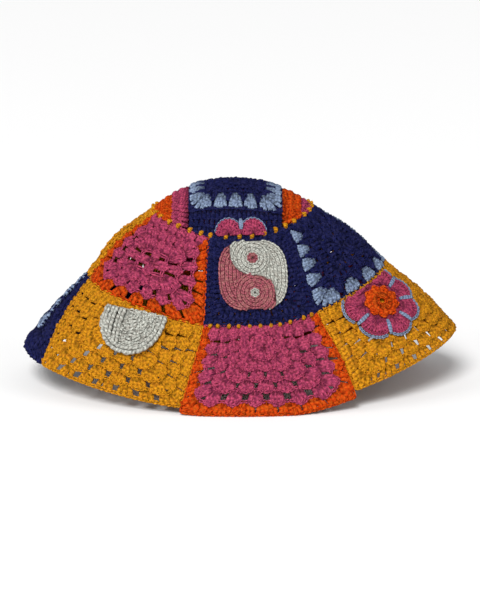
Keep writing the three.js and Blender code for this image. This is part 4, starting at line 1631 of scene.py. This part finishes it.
def shell_rows(random):
    """Uneven rows that follow the patch's edge."""
    rows = []
    for reach in SHELL_ROWS:
        rows += chain_rows(shell_line(reach, SHELL_ROWS_START), SHELL_ROW_PITCH)
    rows = np.array(rows) + random.normal(0, SHELL_SCATTER, (len(rows), 4))
    lifts = SHELL_ROW_LIFT + random.uniform(*SHELL_ROW_RISES, (len(rows), 1))
    girths = random.uniform(*SHELL_ROW_GIRTHS, len(rows))
    return run_of("braid", np.concatenate([rows, lifts, lifts], -1), girth=girths)


def shell_rib(middle, girth):
    """A thick rib that runs down the patch at a share of its half width."""
    fall = (1 - abs(middle) ** RIB_POWER) ** RIB_FALL_POWER
    y = np.linspace(RIB_TOP, -SHELL["drop"] * fall * RIB_REACH, SHELL_POINTS)
    x = middle * SHELL["half_width"] + RIB_WAVE * np.sin(y / RIB_WAVE_LENGTH)
    places = chain_rows(shell_turned(x, y), SHELL_RIB_PITCH)
    return run_of("braid", places, RIB_LIFT + RIB_LIFT_OF_GIRTH * girth, girth)


def shell_backing(across, down, height):
    share, down = 2 * across - 1, SHELL_BACKING_DROP * (1 - down)
    wide = (1 - down ** SHELL["roundness"]) ** (1 / SHELL["roundness"])
    x = share * wide * SHELL["half_width"] * SHELL_BACKING_WIDTH
    return motif_place(SHELL)(*shell_turned(x, -down * SHELL["drop"]).T, height)


def work_shell():
    random = np.random.default_rng(SHELL_SCATTER_SEED)
    rim = chain_rows(shell_line(SHELL_RIM_SHARE, SHELL_RIM_START), SHELL_RIM_PITCH)
    top_x = np.linspace(*SHELL_TOP_SPAN, SHELL_POINTS)
    top = shell_turned(top_x, np.full(SHELL_POINTS, SHELL_TOP_Y))
    runs = [
        shell_rows(random),
        *(shell_rib(middle, girth) for middle, girth in SHELL_RIBS),
        run_of("braid", rim, *SHELL_RIM),
        run_of("chain", chain_rows(top, SHELL_TOP_PITCH), *SHELL_TOP),
    ]
    piece = join_runs("shell_patch_rows", runs, motif_place(SHELL), SHELL_SEED)
    backing = add_backing("shell_patch_backing", SHELL_BACKING, shell_backing)
    finish_piece(join([piece, backing]), "cream", ("shell_patch",))


# Sewing along the seams

def seam_place(seam_level):
    """Lays stitches across a seam: x is a turn in even degrees, y and height are in millimetres."""
    above = SECTIONS[TOP_SEAM][2] if seam_level == TOP_SEAM else LEVEL_HEIGHT

    def place(x, y, height):
        seam = np.full(x.shape, float(seam_level))
        angle = angle_of_step(np.radians(x), seam)
        step = np.full(x.shape, SMALL_STEP)
        normal = unit(cloth_normal(angle, seam, step) + cloth_normal(angle, seam, -step))
        level = seam - y / np.where(y > 0, above, LEVEL_HEIGHT)
        return cloth_point(angle, level) + normal * height[..., None]

    return place


def seam_stitches(sewing, degree_mm, random):
    """Slanting stitches over a seam, where a degree of turn takes some millimetres."""
    pitch, length = sewing.pitch / degree_mm, sewing.length
    count = round((sewing.last - sewing.first) / pitch)
    turns = np.linspace(sewing.first, sewing.last, count, endpoint=False) + pitch / 2
    turns += random.normal(0, SEWING_SCATTER * pitch, count)
    slant = random.normal(*SEWING_SLANT, count) / degree_mm
    return [
        (turn - lean, -length / 2, turn + lean, length / 2) for turn, lean in zip(turns, slant)
    ]


def sew_seams():
    random = np.random.default_rng(SEWING_SEED)
    top = seam_stitches(TOP_SEWING, TOP_DEGREE, random)
    runs = [run_of("whip", top, *TOP_YARN)]
    piece = join_runs("top_seam_stitches", runs, seam_place(TOP_SEAM), TOP_SEAM_SEED)
    finish_piece(piece, "yellow")
    front, back, thread = (
        seam_stitches(sewing, MIDDLE_DEGREE, random)
        for sewing in (FRONT_SEWING, BACK_SEWING, FLOWER_SEWING)
    )
    runs = [run_of("whip", front + back, *MIDDLE_YARN), run_of("whip", thread, *THREAD)]
    piece = join_runs("middle_seam_stitches", runs, seam_place(MIDDLE_SEAM), MIDDLE_SEAM_SEED)
    finish_piece(piece, "yellow")


# The stage

def add_floor():
    deselect_all()
    bpy.ops.mesh.primitive_plane_add(size=FLOOR_SIZE)
    floor = bpy.context.object
    floor.name = "floor"
    wires = Wires("pale_floor")
    wires.plug(wires.shader, {
        "Base Color": (FLOOR_TONE, FLOOR_TONE, FLOOR_TONE, 1), "Roughness": FLOOR_ROUGHNESS,
    })
    floor.data.materials.append(wires.material)


def add_lights():
    world = bpy.data.worlds.new("studio")
    world.use_nodes = True
    sky = world.node_tree.nodes["Background"]
    sky.inputs["Color"].default_value = (1, 1, 1, 1)
    sky.inputs["Strength"].default_value = SKY_STRENGTH
    bpy.context.scene.world = world
    for name, place, size, power in STUDIO_LIGHTS:
        bpy.ops.object.light_add(type="AREA", location=place)
        light = bpy.context.object
        light.name = name
        light.data.size = size
        light.data.energy = power
        aim = light.location * -1
        light.rotation_euler = aim.to_track_quat("-Z", "Y").to_euler()
    bpy.ops.object.light_add(type="SUN", rotation=KEY_TURN)
    daylight = bpy.context.object
    daylight.name = "wide_key_light"
    daylight.data.angle = KEY_WIDTH
    daylight.data.energy = KEY_STRENGTH


def add_camera():
    bpy.ops.object.camera_add()
    camera = bpy.context.object
    camera.data.lens = CAMERA_LENS
    camera.data.clip_end = CAMERA_RANGE
    camera.location = (
        CAMERA_AIM[0],
        CAMERA_AIM[1] - CAMERA_DISTANCE * math.cos(CAMERA_ELEVATION),
        CAMERA_AIM[2] + CAMERA_DISTANCE * math.sin(CAMERA_ELEVATION),
    )
    camera.rotation_euler = (math.pi / 2 - CAMERA_ELEVATION, 0, 0)
    bpy.context.scene.camera = camera


# Properties

def colour_property(name, description, default):
    return bpy.props.FloatVectorProperty(
        name=name, description=description, subtype="COLOR", size=3, min=0, max=1, default=default
    )


class HatYarns(bpy.types.PropertyGroup):
    navy: colour_property("Navy", "Colour of the navy yarn", (0.0056, 0.0068, 0.040))
    pink: colour_property("Pink", "Colour of the magenta pink yarn", (0.292, 0.039, 0.084))
    orange: colour_property("Orange", "Colour of the orange yarn", (0.355, 0.032, 0.002))
    yellow: colour_property("Yellow", "Colour of the mustard yellow yarn", (0.385, 0.164, 0.006))
    light_blue: colour_property(
        "Light blue", "Colour of the light blue yarn", (0.155, 0.2, 0.285)
    )
    cream: colour_property("Cream", "Colour of the cream yarn", (0.325, 0.329, 0.295))
    rose: colour_property("Rose", "Colour of the rose yarn", (0.225, 0.058, 0.075))
    roughness: bpy.props.FloatProperty(
        name="Roughness", description="Roughness of the yarn's surface", min=0, max=1, default=0.85
    )
    # Dark and light ends of each yarn's colour: the mix between them paints shade at posts' feet and in
    # ply grooves, and lightens ply crests
    shade_low: bpy.props.FloatProperty(
        name="Darkest tone", description="Strength of the colour in the darkest stitch",
        min=0, max=2, default=0.35,
    )
    shade_high: bpy.props.FloatProperty(
        name="Lightest tone", description="Strength of the colour in the lightest stitch",
        min=0, max=2, default=1.68,
    )


class HatStitches(bpy.types.PropertyGroup):
    strand_radius: bpy.props.FloatProperty(
        name="Strand radius", description="Radius of one strand of yarn in a stitch",
        unit="LENGTH", min=0.0002, max=0.003, default=0.0009,
    )
    post_turns: bpy.props.FloatProperty(
        name="Post winding", description="Turns that a post's two strands make round each other",
        min=0, max=3, default=0.9,
    )
    jitter: bpy.props.FloatProperty(
        name="Unevenness", description="How far stitches stray from their even places",
        unit="LENGTH", min=0, max=0.002, default=0.00022,
    )


# Operators

class HAT_OT_work_side(bpy.types.Operator):
    """Works the granny squares of the side, one for each place round the hat"""
    bl_idname = "hat.work_side"
    bl_label = "Side Squares"

    def execute(self, context):
        work_squares("side")
        return {"FINISHED"}


class HAT_OT_work_brim(bpy.types.Operator):
    """Works the granny squares of the brim, one for each place round the hat"""
    bl_idname = "hat.work_brim"
    bl_label = "Brim Squares"

    def execute(self, context):
        work_squares("brim")
        return {"FINISHED"}


class HAT_OT_work_crown(bpy.types.Operator):
    """Works the crown: its middle square and the strips and panels round it"""
    bl_idname = "hat.work_crown"
    bl_label = "Crown"

    def execute(self, context):
        work_top_square()
        work_strips()
        return {"FINISHED"}


class HAT_OT_work_disc(bpy.types.Operator):
    """Works the two-coloured disc with its two round eyes"""
    bl_idname = "hat.work_disc"
    bl_label = "Disc"

    def execute(self, context):
        work_disc_half("cream", 1, ROSE_EYE, BACKING_SHADE_TONE)
        # The rose half's sheet is darker still: painted shade in the grooves between its rows
        work_disc_half("rose", -1, CREAM_EYE, GROOVE_SHADE_TONE)
        work_eye("rose", ROSE_EYE)
        work_eye("cream", CREAM_EYE)
        return {"FINISHED"}


class HAT_OT_work_flowers(bpy.types.Operator):
    """Works the flower on the brim and the half flower above the top seam"""
    bl_idname = "hat.work_flowers"
    bl_label = "Flowers"

    def execute(self, context):
        work_flower()
        work_half_flower()
        return {"FINISHED"}


class HAT_OT_work_shell(bpy.types.Operator):
    """Works the shell-like patch with its ribs and rolled rim"""
    bl_idname = "hat.work_shell"
    bl_label = "Shell Patch"

    def execute(self, context):
        work_shell()
        return {"FINISHED"}


class HAT_OT_sew_seams(bpy.types.Operator):
    """Sews the yellow stitches along the top and middle seams"""
    bl_idname = "hat.sew_seams"
    bl_label = "Seam Stitches"

    def execute(self, context):
        sew_seams()
        return {"FINISHED"}


class HAT_OT_set_stage(bpy.types.Operator):
    """Sets the pale floor, the soft lights and the camera"""
    bl_idname = "hat.set_stage"
    bl_label = "Stage"

    def execute(self, context):
        context.scene.view_settings.view_transform = "Standard"
        add_floor()
        add_lights()
        add_camera()
        return {"FINISHED"}


WORKING_ORDER = (
    HAT_OT_set_stage, HAT_OT_work_side, HAT_OT_work_brim, HAT_OT_work_crown, HAT_OT_work_disc,
    HAT_OT_work_flowers, HAT_OT_work_shell, HAT_OT_sew_seams,
)


class HAT_PT_panel(bpy.types.Panel):
    """Lists the yarns, the stitch sizes and the pieces to work"""
    bl_label = "Crochet Hat"
    bl_space_type = "VIEW_3D"
    bl_region_type = "UI"
    bl_category = "Crochet Hat"

    def draw(self, context):
        for group in (context.scene.hat_yarns, context.scene.hat_stitches):
            for name in group.__annotations__:
                self.layout.prop(group, name)
        for operator in WORKING_ORDER:
            self.layout.operator(operator.bl_idname)


CLASSES = (HatYarns, HatStitches, *WORKING_ORDER, HAT_PT_panel)


def register():
    for item in CLASSES:
        bpy.utils.register_class(item)
    bpy.types.Scene.hat_yarns = bpy.props.PointerProperty(type=HatYarns)
    bpy.types.Scene.hat_stitches = bpy.props.PointerProperty(type=HatStitches)


def unregister():
    del bpy.types.Scene.hat_stitches
    del bpy.types.Scene.hat_yarns
    for item in reversed(CLASSES):
        bpy.utils.unregister_class(item)


def main():
    register()
    bpy.ops.hat.set_stage()
    bpy.ops.hat.work_side()
    bpy.ops.hat.work_brim()
    bpy.ops.hat.work_crown()
    bpy.ops.hat.work_disc()
    bpy.ops.hat.work_flowers()
    bpy.ops.hat.work_shell()
    bpy.ops.hat.sew_seams()


if __name__ == "__main__":
    main()
